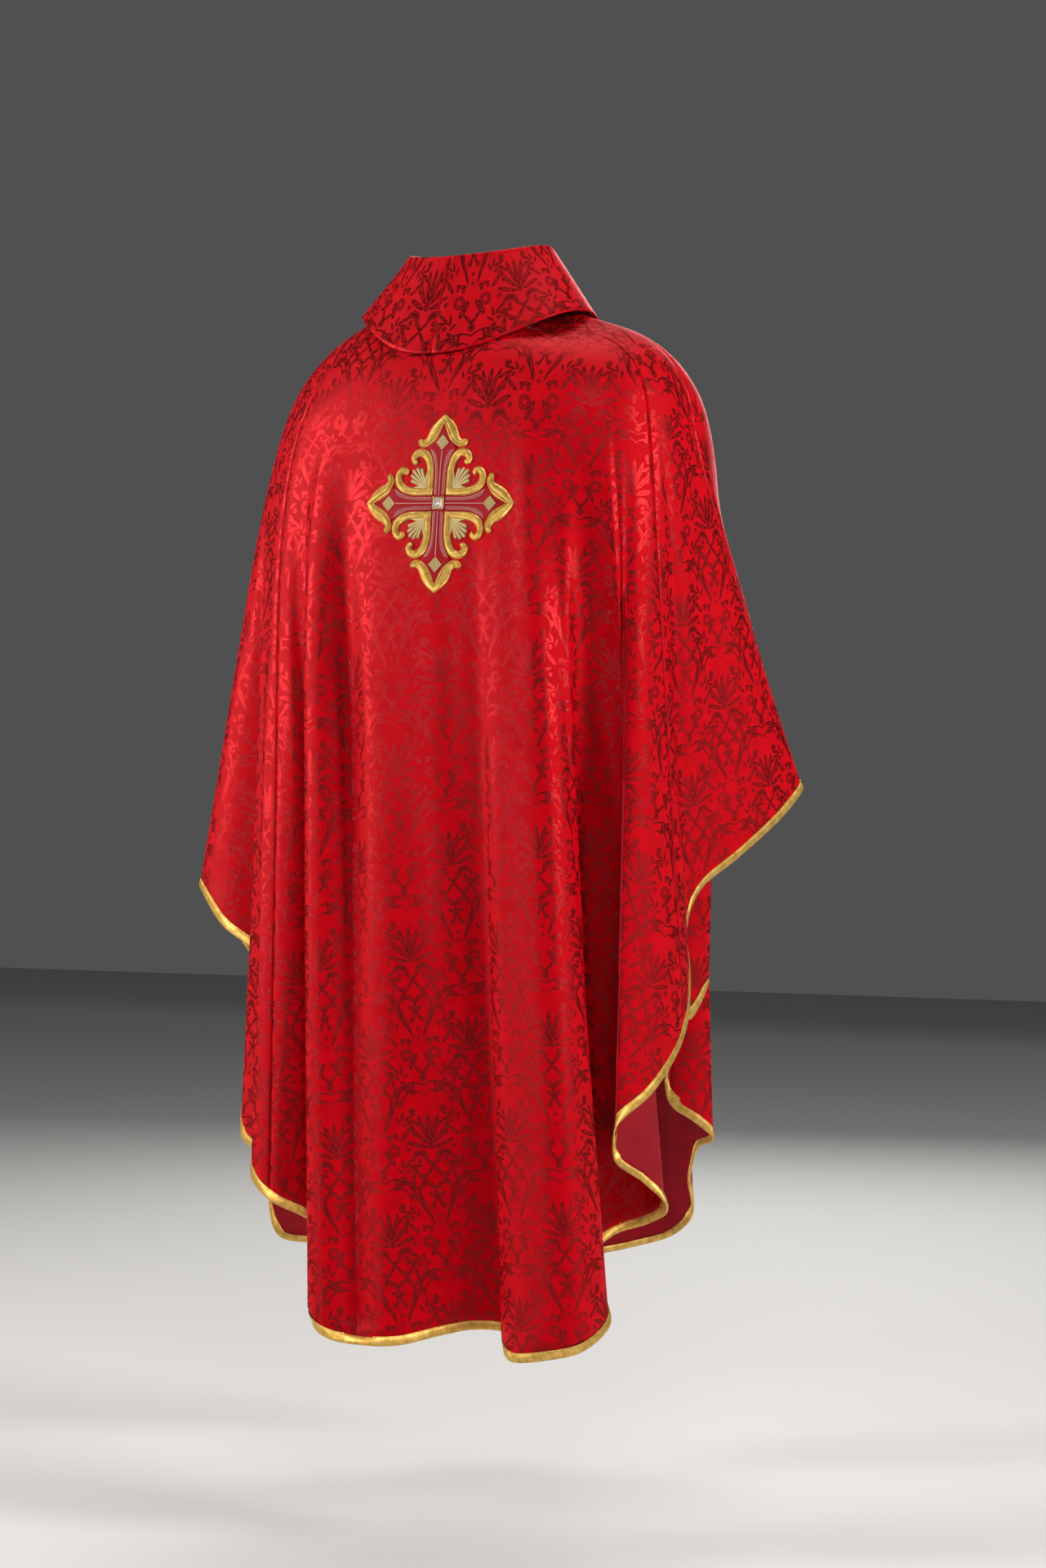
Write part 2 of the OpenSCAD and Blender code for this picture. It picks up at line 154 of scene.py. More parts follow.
def shoulder(angle):
    """Ring that the cloth bends over at the shoulders."""
    return ring(angle, 0.245, 0.150, 0.155, -0.010, -0.008, -0.088, -0.066, -0.135, 0.75)


def chest(angle):
    """Ring that the cloth leaves at the chest."""
    return ring(angle, 0.282, 0.182, 0.205, 0.004, -0.014, -0.250, -0.215, -0.290, 0.72)


def bend(a, b, c, k):
    """Curve that leaves a towards b and arrives at c from b."""
    return (1 - k)**2 * a + 2 * k * (1 - k) * b + k**2 * c


def plain_cloth(u, t):
    """Point of the cloth on column u of the walk, at share t of the way from neck to hem: straight
    off the neck, two soft bends over shoulder and chest, then straight to the hem."""
    hem = hem_at(u)
    angle, end = hem[..., 0], hem[..., 1:]
    n, s, c = neck(angle), shoulder(angle), chest(angle)
    low = c + CHEST_REACH * (end - c)
    ns, sc = (n + s) / 2, (s + c) / 2
    t = t[..., None]
    k1 = t / NECK_SHARE
    k2 = np.clip((t - NECK_SHARE) / (SHOULDER_SHARE - NECK_SHARE), 0, 1)
    k3 = np.clip((t - SHOULDER_SHARE) / (CHEST_SHARE - SHOULDER_SHARE), 0, 1)
    k4 = (t - CHEST_SHARE) / (1 - CHEST_SHARE)
    return np.where(t <= NECK_SHARE, n + (ns - n) * k1,
                    np.where(t <= SHOULDER_SHARE, bend(ns, s, sc, k2),
                             np.where(t <= CHEST_SHARE, bend(sc, c, low, k3), low + (end - low) * k4)))


def facing(surface, u, t, du=0.06, dt=0.003):
    """Direction that the face of a surface looks in: square to its run along the walk and down."""
    across = surface(u + du, t) - surface(u - du, t)
    down = surface(u, np.minimum(t + dt, 1)) - surface(u, np.maximum(t - dt, 0))
    n = np.cross(across, down)
    return n / np.maximum(np.linalg.norm(n, axis=-1, keepdims=True), 1e-9)


# %% [markdown]
# ## Soft ridges and the seams
#
# Between the deep folds the cloth is never quite smooth. Long soft ridges start under the collar and
# at the shoulders and grow downwards, and each seam draws the cloth in a little. Every ridge is a
# hill across the walk times an ease down the length; a few slow waves with fixed phases keep the flat
# stretches from looking machined.

# %% Ridges
RIDGES = [  # column of the walk, half width in columns, height in mm, share where it starts, and ends
    (3.9, 0.9, 11, 0.08, 0.38), (2.2, 0.6, -20, 0.14, 0.42), (-5.7, 0.8, 9, 0.06, 0.35),
    (-9.4, 1.0, -13, 0.10, 0.55), (-11.7, 0.8, 7, 0.08, 0.45), (-2.6, 1.0, 4, 0.20, 0.60),
    (-4.0, 0.7, -4, 0.25, 0.70), (-7.2, 0.6, -4, 0.12, 0.45), (8.0, 0.8, 5, 0.10, 0.50),
    (6.0, 0.6, -4, 0.15, 0.5), (-20, 0.9, 6, 0.10, 0.5), (-14.5, 0.7, -4, 0.15, 0.5),
]
SLOW_WAVES = [  # waves round the walk, height in mm, slope, phase
    (19, 0.8, 2.1, 0.4), (31, 0.6, -3.0, 2.2), (47, 0.35, 5.0, 4.1),
]
SEAM_DEPTH, SEAM_HALF = 0.0013, 0.16
SEAMS = [BACK_LEFT_SEAM, BACK_RIGHT_SEAM, FRONT_LEFT_SEAM, FRONT_RIGHT_SEAM, LEFT_TIP, RIGHT_TIP]


def ease(low, high, v):
    """0 below low, 1 above high, smooth between."""
    k = np.clip((v - low) / (high - low), 0, 1)
    return k * k * (3 - 2 * k)


def from_column(u, column):
    """Columns from u to a column, the short way round."""
    return (u - column + ENTRIES / 2) % ENTRIES - ENTRIES / 2


def swell(u, t):
    """How far the cloth stands out from its plain drape."""
    total = np.zeros(np.broadcast(u, t).shape)
    for column, half, height, start, full in RIDGES:
        total += height / 1000 * np.exp(-(from_column(u, column) / half)**2) * ease(start, full, t)
    turn = 2 * math.pi * u / ENTRIES
    for waves, size, slope, phase in SLOW_WAVES:
        total += size / 1000 * np.sin(waves * turn + slope * t * 2 + phase) * ease(0.1, 0.5, t)
    for column in SEAMS:
        total -= SEAM_DEPTH * np.exp(-(from_column(u, column) / SEAM_HALF)**2) * ease(0.0, 0.06, t)
    return total * (1 - 0.6 * ease(0.985, 1.0, t))


def cloth(u, t):
    """The face of the damask."""
    return plain_cloth(u, t) + swell(u, t)[..., None] * facing(plain_cloth, u, t)


def layer_at(u, t, depth):
    """A layer of cloth a given depth under the face."""
    return cloth(u, t) - depth * facing(cloth, u, t)


# %% [markdown]
# ## Meshes from grids
#
# Every cloth piece is a thin closed shell: an outer grid, an inner grid, and the four edges between
# them. Making it closed gives each piece its real thickness and a real cut edge.

# %% Shells
def mesh_piece(name, points, quads, uv):
    """A mesh object from points and four-cornered faces, with their places on the flat cloth."""
    mesh = bpy.data.meshes.new(name)
    points, quads = np.asarray(points, np.float32), np.asarray(quads, np.int32)
    mesh.vertices.add(len(points))
    mesh.vertices.foreach_set("co", points.ravel())
    mesh.loops.add(quads.size)
    mesh.loops.foreach_set("vertex_index", quads.ravel())
    mesh.polygons.add(len(quads))
    mesh.polygons.foreach_set("loop_start", np.arange(len(quads), dtype=np.int32) * 4)
    mesh.polygons.foreach_set("use_smooth", np.ones(len(quads), bool))
    layer = mesh.uv_layers.new(name="cloth")
    layer.data.foreach_set("uv", np.asarray(uv, np.float32)[quads.ravel()].ravel())
    mesh.update(calc_edges=True)
    obj = bpy.data.objects.new(name, mesh)
    bpy.context.scene.collection.objects.link(obj)
    return obj


def square_grid(a, b):
    """Two whole arrays: a down the rows and b across them."""
    return np.meshgrid(a, b, indexing="ij")


def grid_quads(n, m, loop=False):
    """Faces of an n by m grid of points. A loop joins its last column to its first."""
    i, j = (a.ravel() for a in square_grid(np.arange(n if loop else n - 1), np.arange(m - 1)))
    k = (i + 1) % n
    return np.stack([i * m + j, k * m + j, k * m + j + 1, i * m + j + 1], axis=1)


def shell_quads(n, m):
    """Faces of a closed shell of two n by m grids, outer then inner, and the four rims between."""
    face, far, end = grid_quads(n, m), n * m, (n - 1) * m
    i, j = np.arange(n - 1), np.arange(m - 1)
    rims = [((i + 1) * m, i * m), (i * m + m - 1, (i + 1) * m + m - 1), (j, j + 1),
            (end + j + 1, end + j)]
    return np.concatenate([face, face[:, ::-1] + far]
                          + [np.stack([a, b, b + far, a + far], axis=1) for a, b in rims])


def run_along(points):
    """Distance covered on reaching each point of a row."""
    return np.concatenate([[0], np.cumsum(np.linalg.norm(np.diff(points, axis=0), axis=1))])


def lengths_of(grid, row=None):
    """Distances along one row of a grid, the middle one if none is named, and down its middle."""
    n, m = grid.shape[:2]
    return run_along(grid[:, m // 2 if row is None else row]), run_along(grid[n // 2])


def shell(name, outer, inner, uv=None):
    """A thin closed piece from its outer and inner grid of points."""
    if uv is None:
        along, down = lengths_of(outer)
        uv = np.stack(square_grid(along, -down), axis=-1)
    points = np.concatenate([outer.reshape(-1, 3), inner.reshape(-1, 3)])
    uv = np.concatenate([uv.reshape(-1, 2)] * 2)
    return mesh_piece(name, points, shell_quads(*outer.shape[:2]), uv)


def turned_out(obj):
    """Turns the faces of a closed mesh outwards, told by the sign of its volume."""
    made = bmesh.new()
    made.from_mesh(obj.data)
    if made.calc_volume(signed=True) < 0:
        bmesh.ops.reverse_faces(made, faces=made.faces)
        made.to_mesh(obj.data)
    made.free()
    return obj


def finish_piece(obj, material, node):
    """Gives a piece its material, hangs it on the root body and hides the CAD piece that it stands for."""
    obj = turned_out(obj)
    obj.data.materials.append(material)
    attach(obj, "root")
    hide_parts(node)
    return obj


# %% [markdown]
# ## Materials
#
# The damask is the heart of the look. Ground and pattern are the same red silk; the ground lies in
# one direction and the pattern in the other, so at most angles the pattern looks darker, and where
# the light glances off the floats it flashes lighter. The pattern is drawn with petals, crescents and
# dots around an upright axis, mirrored left to right, and set again half a step across and half a
# step down, as the loom repeats it. It could be a picture, but drawing it keeps every edge sharp at
# any distance.

# %% Node helpers
class Drawing:
    """Short words for building a node tree."""

    def __init__(self, tree):
        self.tree = tree

    def node(self, kind, **settings):
        made = self.tree.nodes.new(kind)
        for key, value in settings.items():
            setattr(made, key, value)
        return made

    def put(self, socket, value):
        if isinstance(value, bpy.types.NodeSocket):
            self.tree.links.new(value, socket)
        elif value is not None:
            socket.default_value = value

    def math(self, operation, a, b=None, c=None):
        made = self.node("ShaderNodeMath", operation=operation)
        for socket, value in zip(made.inputs, (a, b, c)):
            self.put(socket, value)
        return made.outputs[0]

    def vector(self, operation, a, b=None, scale=None):
        made = self.node("ShaderNodeVectorMath", operation=operation)
        self.put(made.inputs[0], a)
        self.put(made.inputs[1], b)
        if scale is not None:
            self.put(made.inputs["Scale"], scale)
        return made.outputs["Value" if operation in ("LENGTH", "DISTANCE") else 0]

    def join(self, x, y, z=0.0):
        made = self.node("ShaderNodeCombineXYZ")
        for socket, value in zip(made.inputs, (x, y, z)):
            self.put(socket, value)
        return made.outputs[0]

    def split(self, v):
        made = self.node("ShaderNodeSeparateXYZ")
        self.put(made.inputs[0], v)
        return made.outputs

    def between(self, v, low, high, to_low=0.0, to_high=1.0):
        """Smooth step from to_low to to_high while v goes from low to high."""
        made = self.node("ShaderNodeMapRange", interpolation_type="SMOOTHSTEP")
        for socket, value in zip(made.inputs[:5], (v, low, high, to_low, to_high)):
            self.put(socket, value)
        return made.outputs[0]

    def blend(self, share, a, b, kind="RGBA"):
        """Mix of two colours or, with kind FLOAT, of two numbers."""
        made = self.node("ShaderNodeMix", data_type=kind)
        first, out = (6, 2) if kind == "RGBA" else (2, 0)
        for socket, value in ((0, share), (first, a), (first + 1, b)):
            self.put(made.inputs[socket], value)
        return made.outputs[out]

    def noise(self, at, scale, detail):
        made = self.node("ShaderNodeTexNoise")
        self.put(made.inputs["Vector"], at)
        made.inputs["Scale"].default_value = scale
        made.inputs["Detail"].default_value = detail
        return made.outputs[0]

    def wave(self, v, pitch):
        """Sine of v that repeats after one pitch."""
        return self.math("SINE", self.math("MULTIPLY", v, 2 * math.pi / pitch))


def new_material(name):
    """An empty material with its surface shader; gives the material, the drawing and the shader."""
    material = bpy.data.materials.new(name)
    material.use_nodes = True
    draw = Drawing(material.node_tree)
    return material, draw, material.node_tree.nodes["Principled BSDF"]


def cloth_uv(draw):
    """Place on the flat cloth, in millimetres."""
    uv = draw.node("ShaderNodeUVMap", uv_map="cloth").outputs[0]
    return draw.vector("SCALE", uv, scale=1000.0)


def bump(draw, shader, height, distance, strength):
    """Relief of the surface: height in its own units, times a distance in metres."""
    made = draw.node("ShaderNodeBump")
    made.inputs["Strength"].default_value = strength
    made.inputs["Distance"].default_value = distance
    draw.put(made.inputs["Height"], height)
    draw.put(shader.inputs["Normal"], made.outputs[0])


# %% The damask pattern, in millimetres from its axis
REPEAT_X, REPEAT_Y, REPEAT_FOOT = 118.0, 217.0, -3.5
HAIR = 1e-6
PETALS = [  # x, y, half length, half width, lean of its length from upright towards the outside
    (0, 197, 17, 2.9, 0), (6.8, 198, 15, 2.6, 18), (12.8, 190, 13.5, 2.7, 42), (15.5, 179, 12, 2.6, 70),
    (0, 178, 5, 3.4, 0), (8.5, 142.5, 14, 1.9, -38), (4.5, 159, 8, 1.8, 42), (15, 144, 5, 2, 60),
    (13.5, 106, 21, 2, 20), (23, 120, 24, 1.7, 26), (0, 121, 5, 2.2, 0), (4.5, 120, 5, 2, 52),
    (3, 112, 5.5, 1.6, -20), (15, 84, 7, 2, 80), (9.5, 59, 10, 3, -30), (0, 39, 4.5, 4, 0),
    (4, 48, 8, 1.8, 40), (27, 134, 9, 1.8, 45),
]
CRESCENTS = [  # centre and radius of the disc, then of the disc cut out of it
    (14, 164, 9, 15, 158.5, 7.2), (10, 126, 10.5, 9.2, 122.8, 9),
    (13, 13, 22, 12.4, 11.4, 21.6), (13, 9, 16, 12.4, 7.6, 15.7),
]
SCROLLS = [  # middle and radius of the curl, first and last angle of its leaves, how many leaves
    (30, 42, 6.5, -70, 175, 6), (32, 96, 6.5, -95, 150, 6), (19, 24, 4.5, 20, 190, 4),
]
RINGS = [(16, 67, 7, 3)]  # centre, outer and inner radius
DOTS = [(20, 155, 3), (4, 129, 2.2), (6, 107, 3), (0, 96, 1.9), (0, 86, 1.9),
        (12, 79, 2.4), (20, 81, 2), (17.5, 2, 4), (26, 175, 2.6), (44, 52, 2.6), (30, 12, 3.2)]


LEAF_FIRST, LEAF_LAST, LEAF_WIDE, LEAF_LEAN = 8.0, 4.5, 0.27, 38  # half lengths, width share, degrees


def leafy_scroll(cx, cy, r, first, last, leaves):
    """A curl: a stem on a circle, thickest at the middle of its leaves, and leaves that point outwards
    and lean back along it, each shorter than the one before. Its end is a dot in the middle."""
    turn = np.radians(np.linspace(first, last, leaves))
    long = np.linspace(LEAF_FIRST, LEAF_LAST, leaves)
    x, y = cx + (r + 0.7 * long) * np.cos(turn), cy + (r + 0.7 * long) * np.sin(turn)
    lean = 90 - np.degrees(turn) + LEAF_LEAN
    middle = turn.mean()
    stem = (cx, cy, r, cx - 1.5 * math.cos(middle), cy - 1.5 * math.sin(middle), r - 0.6)
    shapes = [tuple(leaf) for leaf in np.stack([x, y, long, LEAF_WIDE * long, lean], axis=1)]
    return shapes, stem, (cx, cy, 0.4 * r)


for curl in SCROLLS:
    leaves, stem, end = leafy_scroll(*curl)
    PETALS += leaves
    CRESCENTS.append(stem)
    DOTS.append(end)


def pattern_group():
    """Signed distance to the pattern of one axis, in mm: below zero inside a petal, a crescent or a
    dot. A petal is a circle stretched; a crescent is inside one disc and outside another. There are
    too many shapes to work out at once, so each few of them wait for the ones before: they take the
    place with a hair of the distance so far as its height, too little to change any shape."""
    tree = bpy.data.node_groups.new("damask_axis", "ShaderNodeTree")
    tree.interface.new_socket("Place", in_out="INPUT", socket_type="NodeSocketVector")
    tree.interface.new_socket("Distance", in_out="OUTPUT", socket_type="NodeSocketFloat")
    draw = Drawing(tree)
    place = draw.node("NodeGroupInput").outputs[0]
    x, y, _ = draw.split(place)
    side = draw.math("PINGPONG", x, REPEAT_X / 2)
    height = draw.math("WRAP", y, REPEAT_Y + REPEAT_FOOT, REPEAT_FOOT)
    at = draw.join(side, height)
    best = None

    def place_after(distance):
        return draw.join(side, height, draw.math("MULTIPLY", distance, HAIR))

    for number, (px, py, long, wide, lean) in enumerate(PETALS):
        if number and number % 3 == 0:
            at = place_after(best)
        place_in = draw.node("ShaderNodeMapping", vector_type="TEXTURE")
        draw.put(place_in.inputs["Vector"], at)
        place_in.inputs["Location"].default_value = (float(px), float(py), 0)
        place_in.inputs["Rotation"].default_value = (0, 0, -math.radians(float(lean)))
        place_in.inputs["Scale"].default_value = (float(wide), float(long), 1)
        reach = draw.vector("LENGTH", place_in.outputs[0])
        here = draw.math("MULTIPLY_ADD", reach, float(wide), -float(wide))
        best = here if best is None else draw.math("MINIMUM", best, here)
    for cx, cy, r, hx, hy, hr in CRESCENTS:
        at = place_after(best)
        outer = draw.math("SUBTRACT", draw.vector("DISTANCE", at, (cx, cy, 0)), float(r))
        hole = draw.math("SUBTRACT", float(hr), draw.vector("DISTANCE", at, (hx, hy, 0)))
        best = draw.math("MINIMUM", best, draw.math("MAXIMUM", outer, hole))
    for cx, cy, r, hr in RINGS:
        reach = draw.vector("DISTANCE", at, (cx, cy, 0))
        band = draw.math("MAXIMUM", draw.math("SUBTRACT", reach, float(r)),
                         draw.math("SUBTRACT", float(hr), reach))
        best = draw.math("MINIMUM", best, band)
    at = place_after(best)
    for cx, cy, r in DOTS:
        here = draw.math("SUBTRACT", draw.vector("DISTANCE", at, (cx, cy, 0)), float(r))
        best = draw.math("MINIMUM", best, here)
    draw.put(draw.node("NodeGroupOutput").inputs[0], best)
    print("pattern group:", len(tree.nodes), "nodes")
    return tree


DAMASK_AXIS = pattern_group()


GROUND = (0.46, 0.0, 0.005)
# painted shade: the first float colour is the dark of the grooves between the ribs, the second their top
FLOAT_GROOVE_SHADE, FLOAT_TOP = (0.09, 0.001, 0.003, 1), (0.47, 0.026, 0.028, 1)
RIB_PITCH, WARP_PITCH, WEFT_PITCH = 1.5, 0.62, 0.74


def damask_material(name, origin=(0, 0)):
    """Red damask. Origin is where the axis of the pattern starts on this panel, in mm. Inside the
    pattern the floats are ribbed, thinner along the veins, and shine like metal. The ribs are
    stripes of colour only: the dark in the grooves between them is painted shade."""
    material, draw, shader = new_material(name)
    at = cloth_uv(draw)
    drift = draw.vector("SUBTRACT", at, (float(origin[0]), float(origin[1]), 0))
    axes = []
    for shift in ((0.0, 0.0, 0.0), (REPEAT_X / 2, REPEAT_Y / 2, 0.0)):
        group = draw.node("ShaderNodeGroup", node_tree=DAMASK_AXIS)
        draw.put(group.inputs[0], draw.vector("ADD", drift, shift))
        axes.append(group.outputs[0])
    distance = draw.math("MINIMUM", *axes)
    inside = draw.between(distance, 0.45, -0.25)
    vein = draw.between(draw.math("ABSOLUTE", draw.math("ADD", distance, 1.5)), 0.55, 0.2)
    x, y, _ = draw.split(at)
    rib_share = draw.between(draw.wave(draw.math("ADD", y, x), RIB_PITCH), -0.3, 0.7)
    floats = draw.math("MULTIPLY", inside, draw.math("SUBTRACT", 1.0, draw.math("MULTIPLY", vein, 0.55)))
    uneven = draw.noise(at, 0.045, 3.0)
    shade = draw.between(uneven, 0.3, 0.7, 0.88, 1.08)
    ground = draw.vector("SCALE", GROUND, scale=shade)
    # painted shade: the ribs are stripes of colour only, dark in the grooves between them
    pattern = draw.blend(rib_share, FLOAT_GROOVE_SHADE, FLOAT_TOP)
    draw.put(shader.inputs["Base Color"], draw.blend(floats, ground, pattern))
    draw.put(shader.inputs["Metallic"], draw.math("MULTIPLY", floats, 0.85))
    draw.put(shader.inputs["Roughness"], draw.blend(floats, 0.58, 0.34, "FLOAT"))
    shader.inputs["Specular IOR Level"].default_value = 0.32
    shader.inputs["Specular Tint"].default_value = (1.0, 0.08, 0.08, 1)
    thread, pick = draw.wave(x, WARP_PITCH), draw.wave(y, WEFT_PITCH)
    weave = draw.math("MULTIPLY_ADD", thread, 0.3, draw.math("MULTIPLY", pick, 0.5))
    slow = draw.noise(at, 0.09, 2.0)
    height = draw.math("MULTIPLY_ADD", slow, 4.0, weave)
    bump(draw, shader, height, 0.00006, 0.6)
    return material


# %% The other materials
def lining_material():
    """Plain red lining: a smooth thin satin with the finest weave and a soft wrinkle."""
    material, draw, shader = new_material("lining_satin")
    at = cloth_uv(draw)
    x, y, _ = draw.split(at)
    tone = draw.between(draw.noise(at, 0.03, 3.0), 0.3, 0.7)
    colour = draw.blend(tone, (0.23, 0.001, 0.008, 1), (0.29, 0.002, 0.010, 1))
    draw.put(shader.inputs["Base Color"], colour)
    shader.inputs["Roughness"].default_value = 0.45
    shader.inputs["Specular IOR Level"].default_value = 0.35
    shader.inputs["Specular Tint"].default_value = (1.0, 0.30, 0.28, 1)
    weave = draw.math("ADD", draw.wave(x, 0.5), draw.wave(y, 0.5))
    soft = draw.math("MULTIPLY", draw.noise(at, 0.06, 2.0), 5.0)
    bump(draw, shader, draw.math("ADD", weave, soft), 0.00006, 0.5)
    return material


def thread_gold(name, light, dark, rib, metal, rough):
    """Gold thread lying side by side: fine ribs across the piece, each a little lighter or darker, and
    darker again in the grooves between them, which is painted shade.
    """
    material, draw, shader = new_material(name)
    at = cloth_uv(draw)
    along = draw.split(at)[0]
    strand = draw.wave(along, rib)
    cell = draw.join(draw.math("SNAP", along, rib), 0.0)
    streak = draw.noise(cell, 0.9, 1.0)
    patch = draw.noise(at, 0.11, 2.0)
    tone = draw.between(draw.math("MULTIPLY_ADD", streak, 0.5, draw.math("MULTIPLY", patch, 0.6)),
                        0.35, 0.75)
    # painted shade: the colour falls to 0.62 of itself where the strand, also the bump, is low, between
    # threads
    groove_shade = draw.between(strand, -1.0, 0.2, 0.62, 1.0)
    colour = draw.vector("SCALE", draw.blend(tone, dark, light), scale=groove_shade)
    draw.put(shader.inputs["Base Color"], colour)
    shader.inputs["Metallic"].default_value = metal
    draw.put(shader.inputs["Roughness"], draw.blend(tone, rough + 0.1, rough, "FLOAT"))
    shader.inputs["Specular IOR Level"].default_value = 0.5
    bump(draw, shader, strand, 0.00010, 0.8)
    return material


def net_gold():
    """Open net of pale gold thread, for the fans and the lozenges. The dark colour in the openings
    between the cords, where the bump is low, is painted shade.
    """
    material, draw, shader = new_material("gold_net")
    x, y, _ = draw.split(cloth_uv(draw))
    strands = [draw.wave(draw.math(way, x, y), 2.2) for way in ("ADD", "SUBTRACT")]
    cord = draw.math("MAXIMUM", *strands)
    # painted shade: dark where the cords, also the bump, are low, in the openings of the net
    colour = draw.blend(draw.between(cord, -0.1, 0.8), (0.20, 0.11, 0.022, 1), (0.66, 0.50, 0.22, 1))
    draw.put(shader.inputs["Base Color"], colour)
    shader.inputs["Metallic"].default_value = 0.4
    shader.inputs["Roughness"].default_value = 0.45
    bump(draw, shader, cord, 0.00018, 0.9)
    return material


def plain_thread(name, light, dark, pitch, rough=0.6, shine=0.4):
    """Matt or silky thread with short slanting stitches. The colour is dark between the stitches,
    where the bump is low, and that dark is painted shade.
    """
    material, draw, shader = new_material(name)
    x, y, _ = draw.split(cloth_uv(draw))
    slant = draw.wave(draw.math("MULTIPLY_ADD", x, 0.6, y), pitch)
    # painted shade: the colour is dark where the stitch wave, also the bump, is low, between the stitches
    share = draw.between(slant, -0.6, 0.8)
    draw.put(shader.inputs["Base Color"], draw.blend(share, dark, light))
    shader.inputs["Roughness"].default_value = rough
    shader.inputs["Specular IOR Level"].default_value = shine
    bump(draw, shader, slant, 0.00008, 0.7)
    return material


def glass_material():
    """Clear cut stone."""
    material, draw, shader = new_material("clear_crystal")
    shader.inputs["Base Color"].default_value = (0.93, 0.91, 0.88, 1)
    shader.inputs["Roughness"].default_value = 0.03
    shader.inputs["Transmission Weight"].default_value = 0.75
    shader.inputs["IOR"].default_value = 1.55
    return material


LINING = lining_material()
BINDING_GOLD = thread_gold("gold_lame", (0.96, 0.62, 0.16, 1), (0.55, 0.29, 0.045, 1), 0.8, 0.75, 0.34)
SATIN_GOLD = thread_gold("gold_satin", (1.0, 0.70, 0.20, 1), (0.70, 0.36, 0.045, 1), 0.45, 0.85, 0.27)
NET_GOLD = net_gold()
TAPE_RED = plain_thread("seam_tape", (0.40, 0.006, 0.014, 1), (0.24, 0.003, 0.008, 1), 1.6)
CANVAS = plain_thread("canvas", (0.80, 0.76, 0.68, 1), (0.58, 0.54, 0.46, 1), 1.4, 0.85)
GROUND_RED = plain_thread("ground_satin", (0.42, 0.001, 0.008, 1), (0.26, 0.0, 0.004, 1), 0.9, 0.55, 0.15)
SILVER = plain_thread("silver_thread", (0.72, 0.36, 0.33, 1), (0.42, 0.12, 0.11, 1), 0.8, 0.45)
SETTING = thread_gold("setting_metal", (0.80, 0.66, 0.40, 1), (0.42, 0.30, 0.14, 1), 1.3, 0.85, 0.3)
CRYSTAL = glass_material()
print("materials:", len(bpy.data.materials))

# %% [markdown]
# ## Laying the panels flat
#
# To weave the pattern upright on a hanging panel, the panel has to be laid flat first, as the tailor
# has it on the table. Every panel is sampled coarsely, flattened with the least stretch, turned so
# that its straight grain runs down, and measured: that is its pattern piece. The finer mesh takes its
# place on the cloth from it.

# %% Flattening
COARSE = (4, 10)  # one column in four and one row in ten


def lay_flat(u, t, grain_column, depth):
    """Flat place in metres of each point of a panel's grid, grain upwards, and the flat area. The
    turn is the one that brings the chord of the grain column upright."""
    us, ts = u[::COARSE[0]], t[::COARSE[1]]
    grid = layer_at(*square_grid(us, ts), depth)
    n, m = grid.shape[:2]
    quads = grid_quads(n, m)
    obj = mesh_piece("flat_helper", grid.reshape(-1, 3), quads, np.zeros((n * m, 2)))
    bpy.context.view_layer.objects.active = obj
    obj.select_set(True)
    bpy.ops.object.mode_set(mode="EDIT")
    bpy.ops.mesh.select_all(action="SELECT")
    bpy.ops.uv.unwrap(method="ANGLE_BASED", margin=0.0)
    bpy.ops.uv.unwrap(method="MINIMUM_STRETCH", margin=0.0, iterations=12)
    bpy.ops.object.mode_set(mode="OBJECT")
    loops = np.zeros(quads.size * 2, np.float32)
    obj.data.uv_layers[0].data.foreach_get("uv", loops)
    flat = np.zeros((n * m, 2))
    flat[quads.ravel()] = loops.reshape(-1, 2)
    flat = flat.reshape(n, m, 2)
    bpy.data.objects.remove(obj)

    def area_of(p):
        a, b = p[1:, 1:] - p[:-1, :-1], p[:-1, 1:] - p[1:, :-1]
        if p.shape[-1] == 2:
            return float((a[..., 0] * b[..., 1] - a[..., 1] * b[..., 0]).sum() / 2)
        return float(np.linalg.norm(np.cross(a, b), axis=-1).sum() / 2)

    real, drawn = area_of(grid), area_of(flat)
    if drawn > 0:
        flat[..., 0] *= -1
    flat *= math.sqrt(real / abs(drawn))
    k = int(np.argmin(abs(us - grain_column)))
    chord = flat[k, 0] - flat[k, -1]
    turn = math.atan2(chord[0], chord[1])
    c, s = math.cos(turn), math.sin(turn)
    flat = flat @ np.array([[c, s], [-s, c]])
    flat -= flat[k, 0]
    rows = np.stack([[np.interp(t, ts, flat[a, :, b]) for b in (0, 1)] for a in range(n)])
    fine = np.stack([[np.interp(u, us, rows[:, b, r]) for b in (0, 1)] for r in range(len(t))])
    return fine.transpose(2, 0, 1), real


# %% [markdown]
# ## The six damask panels and the two linings
#
# Back and front each have a centre panel and two side panels that lie over the arms. The seams sit in
# a shallow groove. The lining hangs inside, two thirds of a millimetre away, and follows every fold.

# %% Panels
COLUMNS = 8
ROWS = 110
DAMASK_DEPTHS, LINING_DEPTHS = (0.0, 0.0012), (0.0015, 0.0023)  # of both sides, under the face
HEM_CUT = 0.9962  # the raw edge ends a little inside the fold of the ribbon


def grid_of(u0, u1):
    """Columns and rows of a panel; the rows lie closer together over the shoulders."""
    u = np.linspace(u0, u1, int(round((u1 - u0) * COLUMNS)) + 1)
    t = (np.linspace(0, 1, ROWS + 1)**1.35) * HEM_CUT
    return u, t


